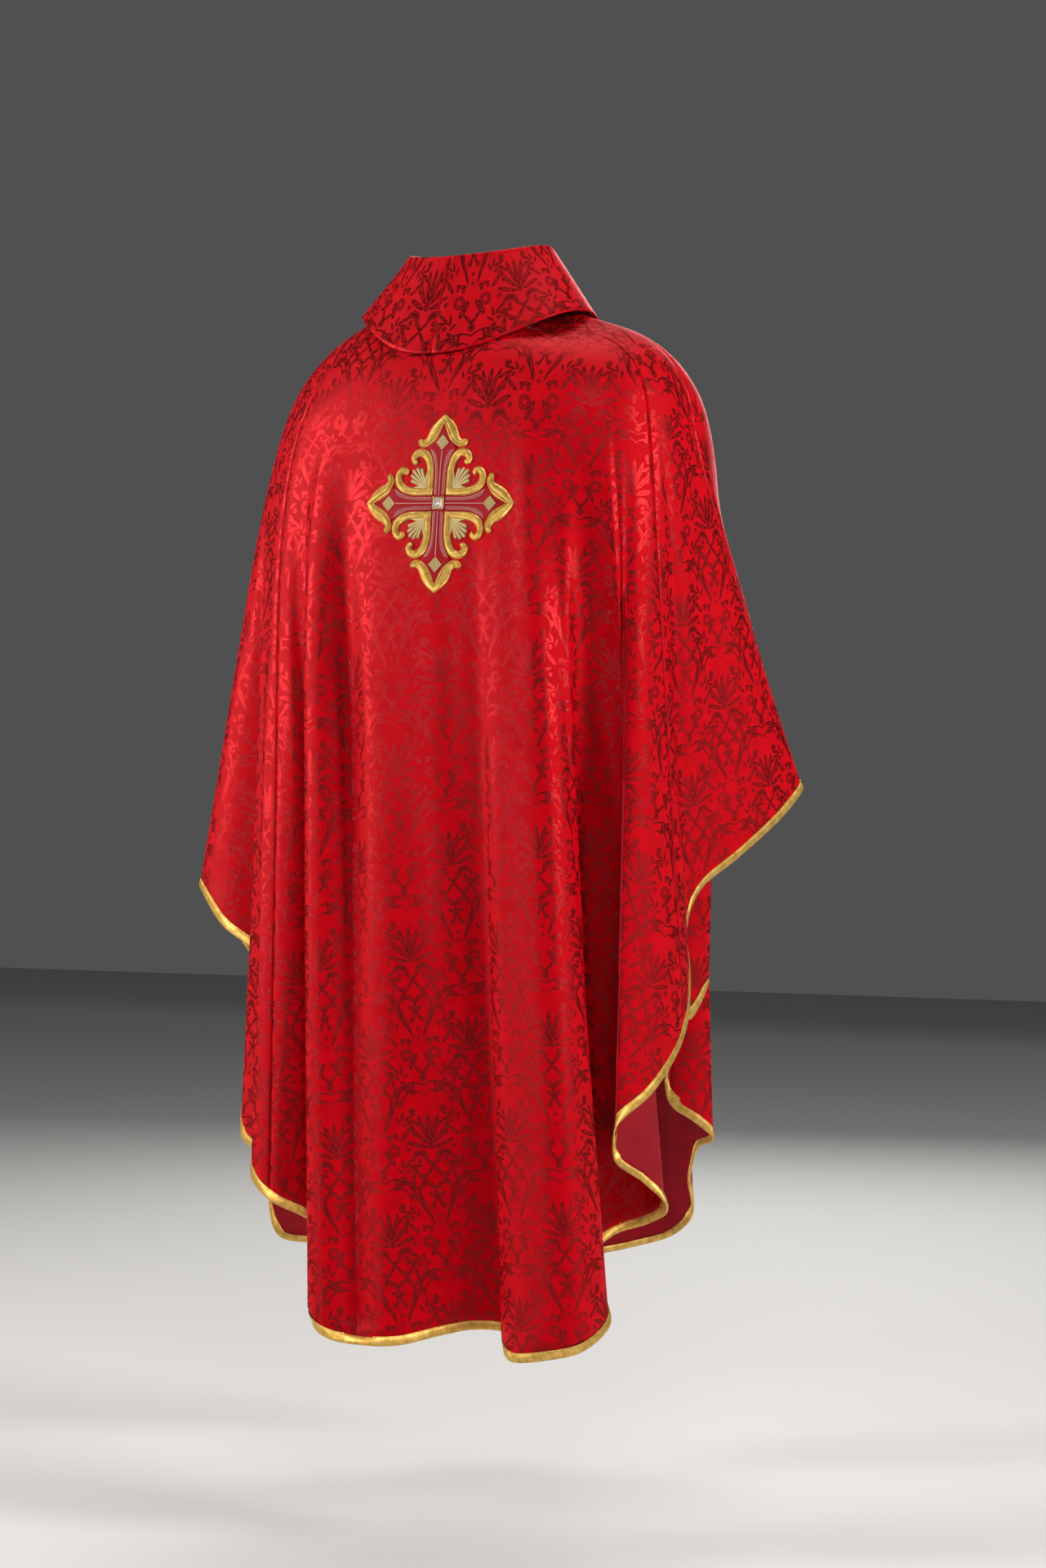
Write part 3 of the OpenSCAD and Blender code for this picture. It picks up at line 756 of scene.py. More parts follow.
def hang(name, u0, u1, grain_column, depths, material):
    """One layer of cloth between two columns, measured flat and hung in place."""
    u, t = grid_of(u0, u1)
    uv, area = lay_flat(u, t, grain_column, depths[0])
    uu, tt = square_grid(u, t)
    face, out = cloth(uu, tt), facing(cloth, uu, tt)
    obj = shell(name + "_cloth", face - depths[0] * out, face - depths[1] * out, uv)
    finish_piece(obj, material, name)
    span = uv.reshape(-1, 2).max(0) - uv.reshape(-1, 2).min(0)
    print(f"{name}: flat {span[0]:.2f} x {span[1]:.2f} m, {area:.3f} m2 of cloth")
    return obj, (float(span[0]), float(span[1])), area


DAMASK_PANELS = [  # name, first and last column, grain column
    ("back_centre_panel", BACK_RIGHT_SEAM, BACK_LEFT_SEAM, -2.0),
    ("back_left_panel", BACK_LEFT_SEAM, LEFT_TIP, 12.0),
    ("back_right_panel", RIGHT_TIP - ENTRIES, BACK_RIGHT_SEAM, -20.0),
    ("front_centre_panel", FRONT_LEFT_SEAM, FRONT_RIGHT_SEAM, 32.0),
    ("front_left_panel", LEFT_TIP, FRONT_LEFT_SEAM, 22.0),
    ("front_right_panel", FRONT_RIGHT_SEAM, RIGHT_TIP, 44.0),
]
LINING_PANELS = [
    ("back_lining", RIGHT_TIP - ENTRIES, LEFT_TIP, -4),
    ("front_lining", LEFT_TIP, RIGHT_TIP, 32),
]
for name, u0, u1, grain in DAMASK_PANELS:
    material = damask_material("damask_" + name)
    hang(name, u0, u1, grain, DAMASK_DEPTHS, material)
for name, u0, u1, grain in LINING_PANELS:
    hang(name, u0, u1, grain, LINING_DEPTHS, LINING)

# %% [markdown]
# ## The gold binding
#
# A strip of gold lamé folded over the raw edge: a leg of one centimetre on the face, a rounded fold
# under the edge, and a shorter leg on the lining. Its upper edge is stitched down, which pulls a
# small dip into it. It is drawn as a profile carried along the hem, always square to it.

# %% Binding
FACE_PROFILE = np.array([  # height above the edge and distance from the face of the cloth, in mm
    [10.3, 0.05], [10.0, 0.45], [9.5, 0.55], [8.9, 0.28], [8.3, 0.62], [7.0, 0.85], [5.0, 0.92], [3.0, 0.88],
    [1.2, 0.75], [0.0, 0.45], [-0.7, -0.2], [-0.9, -1.15], [-0.7, -2.1], [0.0, -2.75], [1.4, -3.05],
    [3.5, -3.15], [5.8, -3.1], [7.2, -2.9], [7.9, -2.45]]) / 1000
BACK_PROFILE = np.array([
    [10.2, 0.02], [9.9, 0.04], [9.3, 0.05], [8.7, 0.04], [8.1, 0.05], [6.9, 0.35], [5.0, 0.45], [3.0, 0.42],
    [1.5, 0.30], [0.4, 0.1], [-0.1, -0.35], [-0.25, -1.15], [-0.1, -1.95], [0.4, -2.4], [1.6, -2.6],
    [3.5, -2.7], [5.6, -2.65], [6.9, -2.5], [7.6, -2.35]]) / 1000


SIDE_STEP, UP_STEP = 0.03, 0.01  # small steps of column and share


def edge_frame(u):
    """At each column of the hem: how much the column and the share change for one metre upwards,
    measured on the cloth and square to the hem."""
    one = np.ones_like(u)
    along = (plain_cloth(u + SIDE_STEP, one) - plain_cloth(u - SIDE_STEP, one)) / (2 * SIDE_STEP)
    down = (plain_cloth(u, one) - plain_cloth(u, one - UP_STEP)) / UP_STEP
    e, f, g = (along**2).sum(-1), (along * down).sum(-1), (down**2).sum(-1)
    square = np.maximum(1 - f * f / (e * g), 0.3)
    dt = -1 / np.sqrt(g * square)
    return -dt * f / e, dt


def carried(u, profile):
    """A profile carried along the hem: up along the cloth by its first number and off it by its
    second."""
    du, dt = edge_frame(u)
    up, off = profile[:, 0], profile[:, 1]
    inside = np.maximum(up, 0)
    uu = u[:, None] + du[:, None] * inside
    tt = 1 + dt[:, None] * inside
    at, out = cloth(uu, tt), facing(cloth, uu, np.minimum(tt, 0.999))
    step = cloth(u + du * 0.002, 1 + dt * 0.002) - cloth(u, np.ones_like(u))
    step /= np.linalg.norm(step, axis=-1, keepdims=True)
    return at + out * off[:, None] + step[:, None, :] * np.minimum(up, 0)[:, None]


def even_columns(u0, u1, step):
    """Columns that follow each other at even steps along the hem."""
    u = np.linspace(u0, u1, 4001)
    p = plain_cloth(u, np.ones_like(u))
    run = run_along(p)
    return np.interp(np.linspace(0, run[-1], int(run[-1] / step)), run, u), run[-1]


RIBBON_STEP = 0.003
for name, u0, u1 in (("hem_binding_back", RIGHT_TIP - ENTRIES, LEFT_TIP),
                     ("hem_binding_front", LEFT_TIP, RIGHT_TIP)):
    u, run = even_columns(u0, u1, RIBBON_STEP)
    piece = shell(name + "_ribbon", carried(u, FACE_PROFILE), carried(u, BACK_PROFILE))
    finish_piece(piece, BINDING_GOLD, name)
    print(f"{name}: {run:.2f} m of ribbon")

# %% [markdown]
# ## The collar, its stiffening and the neck
#
# The collar is a wide band folded over at the top. Outside it falls over the shoulders as a leaf in
# two halves, joined by a seam down the centre of the back; inside it turns down into a facing that
# is sewn to the neck opening, and a tape covers that seam. A stiffening layer between leaf and facing
# keeps the fold round. The lower edge of the leaf is turned up and pressed, so it is a round edge.

# %% Collar
def oval(row):
    """The row of numbers for one ring of the collar, in metres."""
    return np.array(row, float) / 1000


COLLAR_FOLD = oval([92, 84, 96, 6, 0, 42, 60, 22])
COLLAR_EDGE = oval([147, 134, 146, 6, 0, -77, -16, -96])
NECK_RING = oval([92, 77, 102, 0, 0, 2, -2, -66])
DEPTH_WAY = np.array([1, 1, 1, 0, 0, 0, 0, 0], float)
HEIGHT_WAY = np.array([0, 0, 0, 0, 0, 1, 1, 1], float)


def leaf_height(a, rows, share):
    """Height of the leaf: its edge keeps up along the side and drops late towards the back, later on
    the wearer's left, where that side is also a little higher."""
    s, c = np.sin(np.radians(a)), np.cos(np.radians(a))
    side = rows[None, :, 6] + 0.004 * share * s
    end = np.where(c > 0, rows[None, :, 5], rows[None, :, 7])
    late = np.where(s > 0, 3.2, 2.0) - HEIGHT_POWER
    drop = HEIGHT_POWER + np.where(c > 0, late * np.clip(share, 0, 1), 0)
    return side + (end - side) * np.abs(c) ** drop


def collar_band(angles, path, upper, lower, powers, follows=None):
    """Grid of a band round the neck. Each row of the path is the share of the way from the upper to
    the lower ring, the depth under the face and the rise, both in mm. Follows is how much its two
    edges follow the neck seam; the leaf doesn't."""
    share, depth, rise = (path[:, k] for k in range(3))
    rows = upper + (lower - upper) * share[:, None]
    rows = rows - DEPTH_WAY * depth[:, None] / 1000 + HEIGHT_WAY * rise[:, None] / 1000
    power = powers[0] + (powers[1] - powers[0]) * np.clip(share, 0, 1)
    a = angles[:, None]
    grid = ring(a, *(rows[None, :, k] for k in range(8)), power[None, :])
    if follows is None:
        grid[..., 2] = leaf_height(a, rows, share[None, :])
        return grid
    part = follows[0] + (follows[1] - follows[0]) * share[None, :, None]
    return grid + neck_shift(a + 0 * share) * part


def leaf_path(thick):
    """Section of the leaf: up the inside, round the fold, down the face, round the edge, and up the
    turned allowance. Thick is how far this line lies inside the cloth."""
    turn = np.radians(np.linspace(180, 0, 9))
    r = 2.9 - thick
    roll = np.stack([np.zeros(9), 2.9 - r * np.cos(turn), r * np.sin(turn)], axis=1)
    inner = np.array([[0.0, 8.4 - thick, -13.0], [0.0, 7.3 - thick, -8.0], [0.0, 6.3 - thick, -3.5]])
    share = np.linspace(0, 1, 23)[1:-1]
    face = np.stack([share, np.full(21, thick), np.zeros(21)], axis=1)
    turn = np.radians(np.linspace(0, 180, 7))
    r = 1.35 - thick
    edge = np.stack([np.ones(7), 1.35 - r * np.cos(turn), -r * np.sin(turn) * 1.3], axis=1)
    back = np.array([[0.93, 2.7 - thick, 0.0], [0.86, 2.6 - thick, 0.0], [0.78, 2.5 - thick, 0.0]])
    return np.concatenate([inner, roll, face, edge, back])


FACE_MIDDLE = 22  # row of the path halfway down the face of the leaf
LEAF_THICK = 0.9
LEAF_POWERS = (0.95, 0.90)


def collar_leaf(name, a0, a1, node):
    """One half of the leaf: drawn in at the centre-back seam, with a slow wave in its lower part."""
    angles = np.linspace(a0, a1, 121)
    faces = []
    for thick in (0.0, LEAF_THICK):
        grid = collar_band(angles, leaf_path(thick), COLLAR_FOLD, COLLAR_EDGE, LEAF_POWERS)
        to_seam = np.abs(angles) * 1.9
        dip = 0.0011 * np.exp(-(to_seam / 2.4)**2) - 0.0005 * np.exp(-((to_seam - 6) / 3)**2)
        pull = grid - np.array([0.006, 0, 0])
        pull[..., 2] = 0
        pull /= np.linalg.norm(pull, axis=-1, keepdims=True)
        wave = 0.0012 * np.sin(np.radians(angles) * 5 + 0.6)
        lower = ease(0.2, 1.0, leaf_path(thick)[:, 0])
        faces.append(grid + pull * (wave[:, None] * lower - dip[:, None])[..., None])
    along, down = lengths_of(faces[0], FACE_MIDDLE)
    along = along if a0 == 0 else along - along[-1]
    obj = shell(name, faces[0], faces[1], np.stack(square_grid(along, -down), axis=-1))
    finish_piece(obj, COLLAR_DAMASK, node)
    return obj, (float(along[-1] - along[0]), float(down[-1]))


COLLAR_DAMASK = damask_material("damask_collar", (18.0, -30.0))
collar_left = collar_leaf("collar_leaf_left", 0, 179.6, "collar_outer_left")
collar_right = collar_leaf("collar_leaf_right", -179.6, 0, "collar_outer_right")
print("collar leaf: %.2f round, %.2f m from turned edge to turned edge" % collar_left[1])


def plain_band(name, upper, lower, path, thick, powers, material, node, follows=None):
    """A simple band round the neck with an even thickness."""
    angles = np.linspace(-179.5, 179.5, 241)
    inside = path + np.array([0, thick, 0])
    piece = shell(name, collar_band(angles, path, upper, lower, powers, follows),
                  collar_band(angles, inside, upper, lower, powers, follows))
    return finish_piece(piece, material, node)


def shares(start, end, count, depth, end_depth=None):
    """Even steps of a path at one depth, or at a depth that changes evenly."""
    k = np.linspace(start, end, count)
    d = np.linspace(depth, depth if end_depth is None else end_depth, count)
    return np.stack([k, d, np.zeros(count)], axis=1)


TAPE_TOP, TAPE_EDGE = oval([90, 75, 100, 0, 0, 0, -4, -69]), oval([90, 75, 100, 0, 0, -12, -16, -81])
plain_band("collar_canvas", COLLAR_FOLD, COLLAR_EDGE, shares(0.03, 0.75, 12, 2.6), 0.6,
           LEAF_POWERS, CANVAS, "collar_interlining")
plain_band("collar_facing_cloth", COLLAR_FOLD, NECK_RING, shares(0.0, 1.0, 12, 4.4, 0.0), 1.0,
           (0.95, 1.0), LINING, "collar_facing", (0, 1))
tape = plain_band("neck_tape", TAPE_TOP, TAPE_EDGE, shares(0, 1, 4, 0), 0.8,
                  (1.0, 1.0), TAPE_RED, "neck_seam_tape", (1, 1))

# %% [markdown]
# ## Where the embroidery lies
#
# The cross is drawn flat, in millimetres, with x to the right and y up as one looks at the back. To
# lay it on the cloth, the surface is searched once for the place under each point of a small net; the
# stitches are then hung on that net, standing off the cloth by their own height.

# %% A net on the back
CROSS_TURN, CROSS_LEAN, CROSS_FACING = 2.0, 4.4, 1.7
CROSS_WIDTH = 0.92
CROSS_AT = np.array([-0.022, 0.165, -0.259])


def turn(degrees, axis):
    """Rotation round one axis, as rows of numbers."""
    return np.array(Matrix.Rotation(math.radians(degrees), 3, axis))


CROSS_AXES = (turn(CROSS_FACING, "Z") @ turn(CROSS_LEAN, "X") @ turn(180, "Z") @ turn(90, "X")
              @ turn(-CROSS_TURN, "Z"))
NET_SIDE = 0.120
NET_COUNT = 61
DU, DT = 0.02, 0.002  # steps over which the miss is compared
LARGEST_DU, LARGEST_DT = 0.8, 0.05  # furthest that one correction may go


def build_net():
    """Finds column and share of each point of the net by Newton's method: the miss in the plane of
    the cross, divided by how fast it changes. The first guess takes the back as an even slope."""
    x, y = square_grid(*[np.linspace(-NET_SIDE, NET_SIDE, NET_COUNT)] * 2)
    u, t = -0.4 - x / 0.035, 0.22 - y * 0.75

    def miss(u, t):
        local = (cloth(u, t) - CROSS_AT) @ CROSS_AXES
        return local[..., 0] - x, local[..., 1] - y

    for _ in range(25):
        a, b = miss(u, t)
        a_u, b_u = miss(u + DU, t)
        a_t, b_t = miss(u, t + DT)
        j11, j21, j12, j22 = (a_u - a) / DU, (b_u - b) / DU, (a_t - a) / DT, (b_t - b) / DT
        det = j11 * j22 - j12 * j21
        det = np.where(np.abs(det) < 1e-6, 1e-6, det)
        u = u - np.clip((a * j22 - b * j12) / det, -LARGEST_DU, LARGEST_DU)
        t = np.clip(t - np.clip((j11 * b - j21 * a) / det, -LARGEST_DT, LARGEST_DT), 0.03, 0.6)
    a, b = miss(u, t)
    print("net on the back: largest miss %.3f mm" % (1000 * float(np.hypot(a, b).max())))
    return cloth(u, t), facing(cloth, u, t)


NET, NET_OUT = build_net()


def on_back(points):
    """Points (x, y, height) in mm, as drawn, laid on the cloth."""
    points = np.asarray(points, float)
    at = (points[..., :2] * [CROSS_WIDTH, 1] / 1000 + NET_SIDE) / (2 * NET_SIDE) * (NET_COUNT - 1)
    i = np.clip(np.floor(at).astype(int), 0, NET_COUNT - 2)
    f = at - i
    fx, fy = f[..., :1], f[..., 1:]

    def pick(net):
        a, b = i[..., 0], i[..., 1]
        return ((1 - fx) * (1 - fy) * net[a, b] + fx * (1 - fy) * net[a + 1, b]
                + (1 - fx) * fy * net[a, b + 1] + fx * fy * net[a + 1, b + 1])

    return pick(NET) + pick(NET_OUT) * points[..., 2:] / 1000


# %% Stitched shapes
SATIN_H, FLAT_H = 3.1, 0.9  # heights over the cloth, in mm
PADDED_UNDER, FLAT_UNDER = -0.3, -0.2


def around(count):
    """Even steps once round, in radians."""
    return np.linspace(0, 2 * math.pi, count + 1)[:-1]


def sunk(grid, height):
    """The same grid at one height: the hidden underside of a stitched shape."""
    low = grid.copy()
    low[..., 2] = height
    return low


def cubic(path, steps=8):
    """Smooth curve through rows of numbers."""
    path = np.array(path, float)
    padded = np.concatenate([path[:1], path, path[-1:]])
    f = (np.arange(steps) / steps)[None, :, None]
    a, b, c, d = (padded[k:len(padded) - 3 + k, None] for k in range(4))
    run = 0.5 * (2 * b + (c - a) * f + (2 * a - 5 * b + 4 * c - d) * f**2 + (3 * b - a - 3 * c + d) * f**3)
    return np.concatenate([run.reshape(-1, path.shape[1]), path[-1:]])


def with_sides(path):
    """Centre and side vectors, half a width long and to the left, of a path of (x, y, width)."""
    way = np.gradient(path[:, :2], axis=0)
    way /= np.maximum(np.linalg.norm(way, axis=1, keepdims=True), 1e-9)
    return path[:, :2], np.stack([-way[:, 1], way[:, 0]], axis=1) * path[:, 2:3] / 2


def round_ends(centre, side, start=True):
    """Narrows the end of a band, and its start too unless told not to, to half rounds."""
    run = run_along(centre)
    half = np.linalg.norm(side, axis=1)
    keep = np.clip((run[-1] - run) / half[-1], 0, 1)
    if start:
        keep = np.minimum(keep, np.clip(run / half[0], 0, 1))
    return side * np.sqrt(np.maximum(1 - (1 - keep)**2, 0.0004))[:, None]


def padded_band(centre, side, height, base=0.3, across=15, slit=None, power=0.6):
    """Satin stitch over padding: the height falls from the middle of the band to its edges as a
    flattened dome. A slit is a narrow groove at that share of the way to the left edge."""
    v = np.linspace(-1, 1, across)
    if slit is not None:
        v = np.sort(np.concatenate([v, [slit - 0.09, slit - 0.045, slit, slit + 0.045, slit + 0.09]]))
    dome = np.maximum(1 - v**2, 0)**power
    if slit is not None:
        dome = dome * (1 - 0.75 * np.exp(-((v - slit) / 0.06)**2))
    size = np.clip(np.linalg.norm(side, axis=1) / 2.5, 0.05, 1)
    xy = centre[:, None, :] + side[:, None, :] * v[None, :, None]
    top = np.concatenate([xy, (base + (height - base) * dome[None, :] * size[:, None])[..., None]], axis=-1)
    return top, sunk(top, PADDED_UNDER)


def volume(points, quads):
    """Signed volume of a closed mesh of quads, from the origin of its own middle."""
    p = points[quads] - points.mean(0)
    first = np.einsum("ij,ij->i", p[:, 0], np.cross(p[:, 1], p[:, 2]))
    return float((first + np.einsum("ij,ij->i", p[:, 0], np.cross(p[:, 2], p[:, 3]))).sum())


class Stitches:
    """Collects several closed shapes into one piece, each with its faces outwards."""

    def __init__(self):
        self.points, self.quads, self.uv, self.count = [], [], [], 0

    def take(self, points, quads, uv):
        if volume(points, quads) < 0:
            quads = quads[:, ::-1]
        self.points.append(points)
        self.quads.append(quads + self.count)
        self.uv.append(uv)
        self.count += len(points)

    def band(self, top, low):
        """A closed shape between an upper and a lower grid."""
        top, low = on_back(top), on_back(low)
        uv = np.stack(square_grid(*lengths_of(top)), axis=-1).reshape(-1, 2)
        self.take(np.concatenate([top.reshape(-1, 3), low.reshape(-1, 3)]), shell_quads(*top.shape[:2]),
                  np.concatenate([uv, uv]))

    def ball(self, grid):
        """A closed round shape: columns go round, the first and last row are its poles."""
        self.take(on_back(grid).reshape(-1, 3), grid_quads(*grid.shape[:2], loop=True),
                  grid[..., :2].reshape(-1, 2) / 1000)

    def make(self, name, material, slot, node, flat=False):
        """Closes the poles and hands over one finished piece, with flat facets if asked."""
        obj = mesh_piece(name, *(np.concatenate(rows) for rows in (self.points, self.quads, self.uv)))
        made = bmesh.new()
        made.from_mesh(obj.data)
        bmesh.ops.remove_doubles(made, verts=made.verts, dist=3e-6)
        for face in made.faces:
            face.smooth = not flat
        made.to_mesh(obj.data)
        made.free()
        return finish_piece(obj, material, node)


# %% [markdown]
# ## The gold scrolls and tips
#
# Each quarter of the cross has one gold band: it comes down beside the upright arm, turns the corner
# with a mitre and runs out beside the level arm, and both ends roll into a curl with a small eye.
# Each arm ends in a pointed tip of two leaves with a dark slit along them and a scroll at either end.
# All of it is satin stitch over a felt core, so the threads cross the band and its top is domed.

# %% Scrolls and tips
CORNER, CORNER_SIDE, POINT, POINT_SIDE = 13.5, 4.3, 100.4, 5.6
SCROLL = [(13.5, 18.6, 8.8), (13.5, 27, 9.4), (14.2, 39, 10.0), (17, 50, 10.4), (22.3, 57.3, 10.6),
          (29.3, 60.2, 10.0), (36, 58.6, 9.4), (39.2, 53.6, 9.2), (37.0, 49.4, 8.6), (33.6, 50.4, 7.2)]
TIP = [(6.0, 94.8, 12.0), (11.2, 87.2, 15.0), (15.2, 80.0, 14.4), (20.2, 73.8, 11.0), (26.5, 70.7, 9.6),
       (31.3, 72.6, 9.0), (32.6, 76, 7.0)]


def mirrored(part, kx, ky):
    """A shape of the upper right quarter, carried over to another one."""
    return part * np.array([kx, ky, 1.0])


def scroll(kx, ky):
    """One band with its two curls; the second arm is the first with x and y changed over."""
    centre, side = with_sides(cubic(SCROLL))
    side = round_ends(centre, side, start=False)
    arm_centre, arm_side = centre[::-1], side[::-1]
    centre = np.concatenate([arm_centre, [[CORNER, CORNER]], arm_centre[::-1, ::-1]])
    side = np.concatenate([arm_side, [[-CORNER_SIDE, -CORNER_SIDE]], arm_side[::-1, ::-1]])
    top, low = padded_band(centre, side, SATIN_H)
    return mirrored(top, kx, ky), mirrored(low, kx, ky)


def quarter(part, q):
    """Turns a shape by quarter turns, from the top arm over the left."""
    x, y, h = part[..., 0], part[..., 1], part[..., 2]
    return np.stack([(x, -y, -x, y)[q], (y, x, -y, -x)[q], h], axis=-1)


def tip(q):
    """Two leaves that meet in a point."""
    centre, side = with_sides(cubic(TIP))
    side = round_ends(centre, side, start=False)
    flip = np.array([-1, 1])
    centre = np.concatenate([centre[::-1] * flip, [[0, POINT]], centre])
    side = np.concatenate([side[::-1] * flip, [[0, POINT_SIDE]], side])
    top, low = padded_band(centre, side, SATIN_H - 0.2, slit=-0.42)
    return quarter(top, q), quarter(low, q)


QUARTERS = {"upper_left": (-1, 1), "upper_right": (1, 1), "lower_left": (-1, -1), "lower_right": (1, -1)}
ARMS = {"top": 0, "left": 1, "bottom": 2, "right": 3}
for where, (kx, ky) in QUARTERS.items():
    piece = Stitches()
    piece.band(*scroll(kx, ky))
    piece.make("scroll_" + where, SATIN_GOLD, "gold_satin", "scroll_band_" + where)
for where, q in ARMS.items():
    piece = Stitches()
    piece.band(*tip(q))
    piece.make("tip_" + where, SATIN_GOLD, "gold_satin", "cross_tip_" + where)

# %% [markdown]
# ## Ground, fans, lozenges and lines
#
# Under the gold lies a red satin ground with a corded dark edge. Rows of short silvery stitches run
# inwards from both edges of each arm, a twisted cord marks its middle and ends at a net lozenge. In
# each corner a fan of five rounded rays stands on a narrow net of olive gold.

# %% Ground and stitch rows
GROUND_Y = [0, 8.8, 22, 35, 45, 56, 63, 66.5, 72, 79.5, 88, 95]
GROUND_HALF = [0, 8.8, 8.8, 8.8, 10, 14, 18.3, 20.3, 15, 9, 4.5, 0.15]


def half_width(y):
    """Half the width of the red ground at height y of the top arm."""
    return np.interp(y, GROUND_Y, GROUND_HALF)


def ground_arm(q):
    """The satin ground of one arm."""
    y = np.unique(np.concatenate([np.linspace(0.05, 95, 60), GROUND_Y[1:]]))
    v = np.linspace(-1, 1, 13)
    x = half_width(y)[:, None] * v
    grid = np.stack([x, np.broadcast_to(y[:, None], x.shape), np.full(x.shape, FLAT_H)], axis=-1)
    return quarter(grid, q), quarter(sunk(grid, FLAT_UNDER), q)


def edge_cord(q, side, inset, height, width):
    """A thin cord along one edge of an arm."""
    y = np.linspace(10.5, 64.5, 40)
    path = np.stack([side * (half_width(y) - inset), y, np.full(40, width)], axis=1)
    centre, sides = with_sides(path)
    top, low = padded_band(centre, round_ends(centre, sides), height, FLAT_H, 7, power=0.5)
    return quarter(top, q), quarter(low, q)


def short_stitches(q, side):
    """A row of short threads slanting inwards and outwards from the edge of an arm: each is a small
    bean, a circle carried along and drawn to a point at both ends."""
    y = np.arange(11.0, 63.5, 1.45)
    half = half_width(y)
    reach = np.minimum(3.6 + 2.4 * ease(40, 60, y), half - 3.6)
    start = np.stack([side * (half - 2.3), y], axis=1)
    step = np.stack([-side * reach, -0.35 * reach], axis=1)
    s = np.linspace(0, 1, 7)
    a = around(6)
    thin = 0.34 * np.sqrt(np.maximum(1 - (2 * s - 1)**4, 0))
    across = step[:, ::-1] * np.array([-1, 1]) / np.linalg.norm(step, axis=1, keepdims=True)
    middle = start[:, None, None] + step[:, None, None] * s[None, None, :, None]
    out = across[:, None, None] * (thin[None, None] * np.cos(a)[None, :, None])[..., None]
    high = FLAT_H + 0.12 + thin[None, None] * np.sin(a)[None, :, None] + np.zeros(len(y))[:, None, None]
    return quarter(np.concatenate([middle + out, high[..., None]], axis=-1), q)


def twisted_cord(q):
    """Two plies twisted: the radius swells twice round the section and the swelling climbs along."""
    first, last, radius, lay = 8.6, 62.5, 0.62, 2.4
    s = np.linspace(first, last, 150)
    a = around(10)
    r = radius * (1 + 0.2 * np.cos(2 * a[:, None] - 2 * math.pi * s / lay))
    r *= np.clip((s - first) / 0.5, 0, 1) * np.clip((last - s) / 0.5, 0, 1)
    return quarter(np.stack([r * np.cos(a)[:, None], np.broadcast_to(s, r.shape),
                             FLAT_H + 0.25 + r * np.sin(a)[:, None]], axis=-1), q)


ground, stitches, cords = Stitches(), Stitches(), Stitches()
for q in range(4):
    ground.band(*ground_arm(q))
    cords.ball(twisted_cord(q))
    for side in (-1, 1):
        ground.band(*edge_cord(q, side, 0.6, 1.5, 1.5))
        stitches.band(*edge_cord(q, side, 2.2, 1.35, 0.8))
        for bean in short_stitches(q, side):
            stitches.ball(bean)
ground.make("cross_ground_satin", GROUND_RED, "satin_ground", "cross_ground")
stitches.make("comb_stitches", SILVER, "silver_thread", "comb_stitching")
cords.make("centre_cords", SILVER, "silver_thread", "centre_line_cords")

# %% Fans and lozenges
LOZENGE_SECTION = [(0, 1.9), (0.14, 1.9), (0.2, 1.35), (0.32, 1.35), (0.4, 2.0), (0.56, 2.0), (0.62, 1.3),
                   (0.74, 1.3), (0.8, 2.0), (0.95, 1.95), (1.0, 1.4), (1.0, -0.2), (0, -0.2)]
LOZENGE_HALF, LOZENGE_UP = 9.2, 72
FAN_FOOT = 18.3
RAYS = [(21, 25), (33, 28.5), (45, 30.5), (57, 28.5), (69, 25)]  # direction and length


def ray(degrees, length):
    """One finger of the fan."""
    a = math.radians(degrees)
    s = np.linspace(5, length, 24)
    path = np.stack([FAN_FOOT + s * math.cos(a), FAN_FOOT + s * math.sin(a), 1.9 + 3.1 * s / length], axis=1)
    centre, side = with_sides(path)
    return padded_band(centre, round_ends(centre, side, start=False), 2.0, 0.4, 11, power=0.5)


def net_strip(swap):
    """Narrow net along one side of the corner, cut to a mitre where it meets the other."""
    s = np.linspace(17.4, 46, 30)
    top_edge = np.minimum(s, 17.4 + 8.2 * (1 - (s - 17.4) / 28.6)**1.3)
    v = np.linspace(0, 1, 7)
    y = 17.2 + (top_edge - 17.2)[:, None] * v
    x = np.broadcast_to(s[:, None], y.shape)
    h = 0.9 + 0.5 * np.sin(math.pi * v)[None, :] ** 0.5 * np.ones_like(x)
    grid = np.stack([y, x, h] if swap else [x, y, h], axis=-1)
    return grid, sunk(grid, FLAT_UNDER)


def lozenge(q):
    """Nested squares standing on a corner: a square outline scaled down to nothing while the height
    steps up and down."""
    side = np.arange(32) / 8
    corner = np.array([[0, 1], [-1, 0], [0, -1], [1, 0], [0, 1]], float)
    k = np.floor(side).astype(int)
    outline = corner[k] + (corner[k + 1] - corner[k]) * (side - k)[:, None]
    section = np.array(LOZENGE_SECTION)
    xy = outline[:, None] * section[None, :, :1] * LOZENGE_HALF + [0, LOZENGE_UP]
    h = np.broadcast_to(section[None, :, 1:], xy.shape[:2] + (1,))
    return quarter(np.concatenate([xy, h], axis=-1), q)


for where, (kx, ky) in QUARTERS.items():
    piece = Stitches()
    for degrees, length in RAYS:
        piece.band(*(mirrored(part, kx, ky) for part in ray(degrees, length)))
    for swap in (False, True):
        piece.band(*(mirrored(part, kx, ky) for part in net_strip(swap)))
    piece.make("fan_" + where, NET_GOLD, "gold_net", "ray_fan_" + where)
for where, q in ARMS.items():
    piece = Stitches()
    piece.ball(lozenge(q))
    piece.make("net_lozenge_" + where, NET_GOLD, "gold_net", "lozenge_" + where)

# %% [markdown]
# ## The jewel
#
# A square clear stone sits in the middle in a thin metal setting edged with beads.

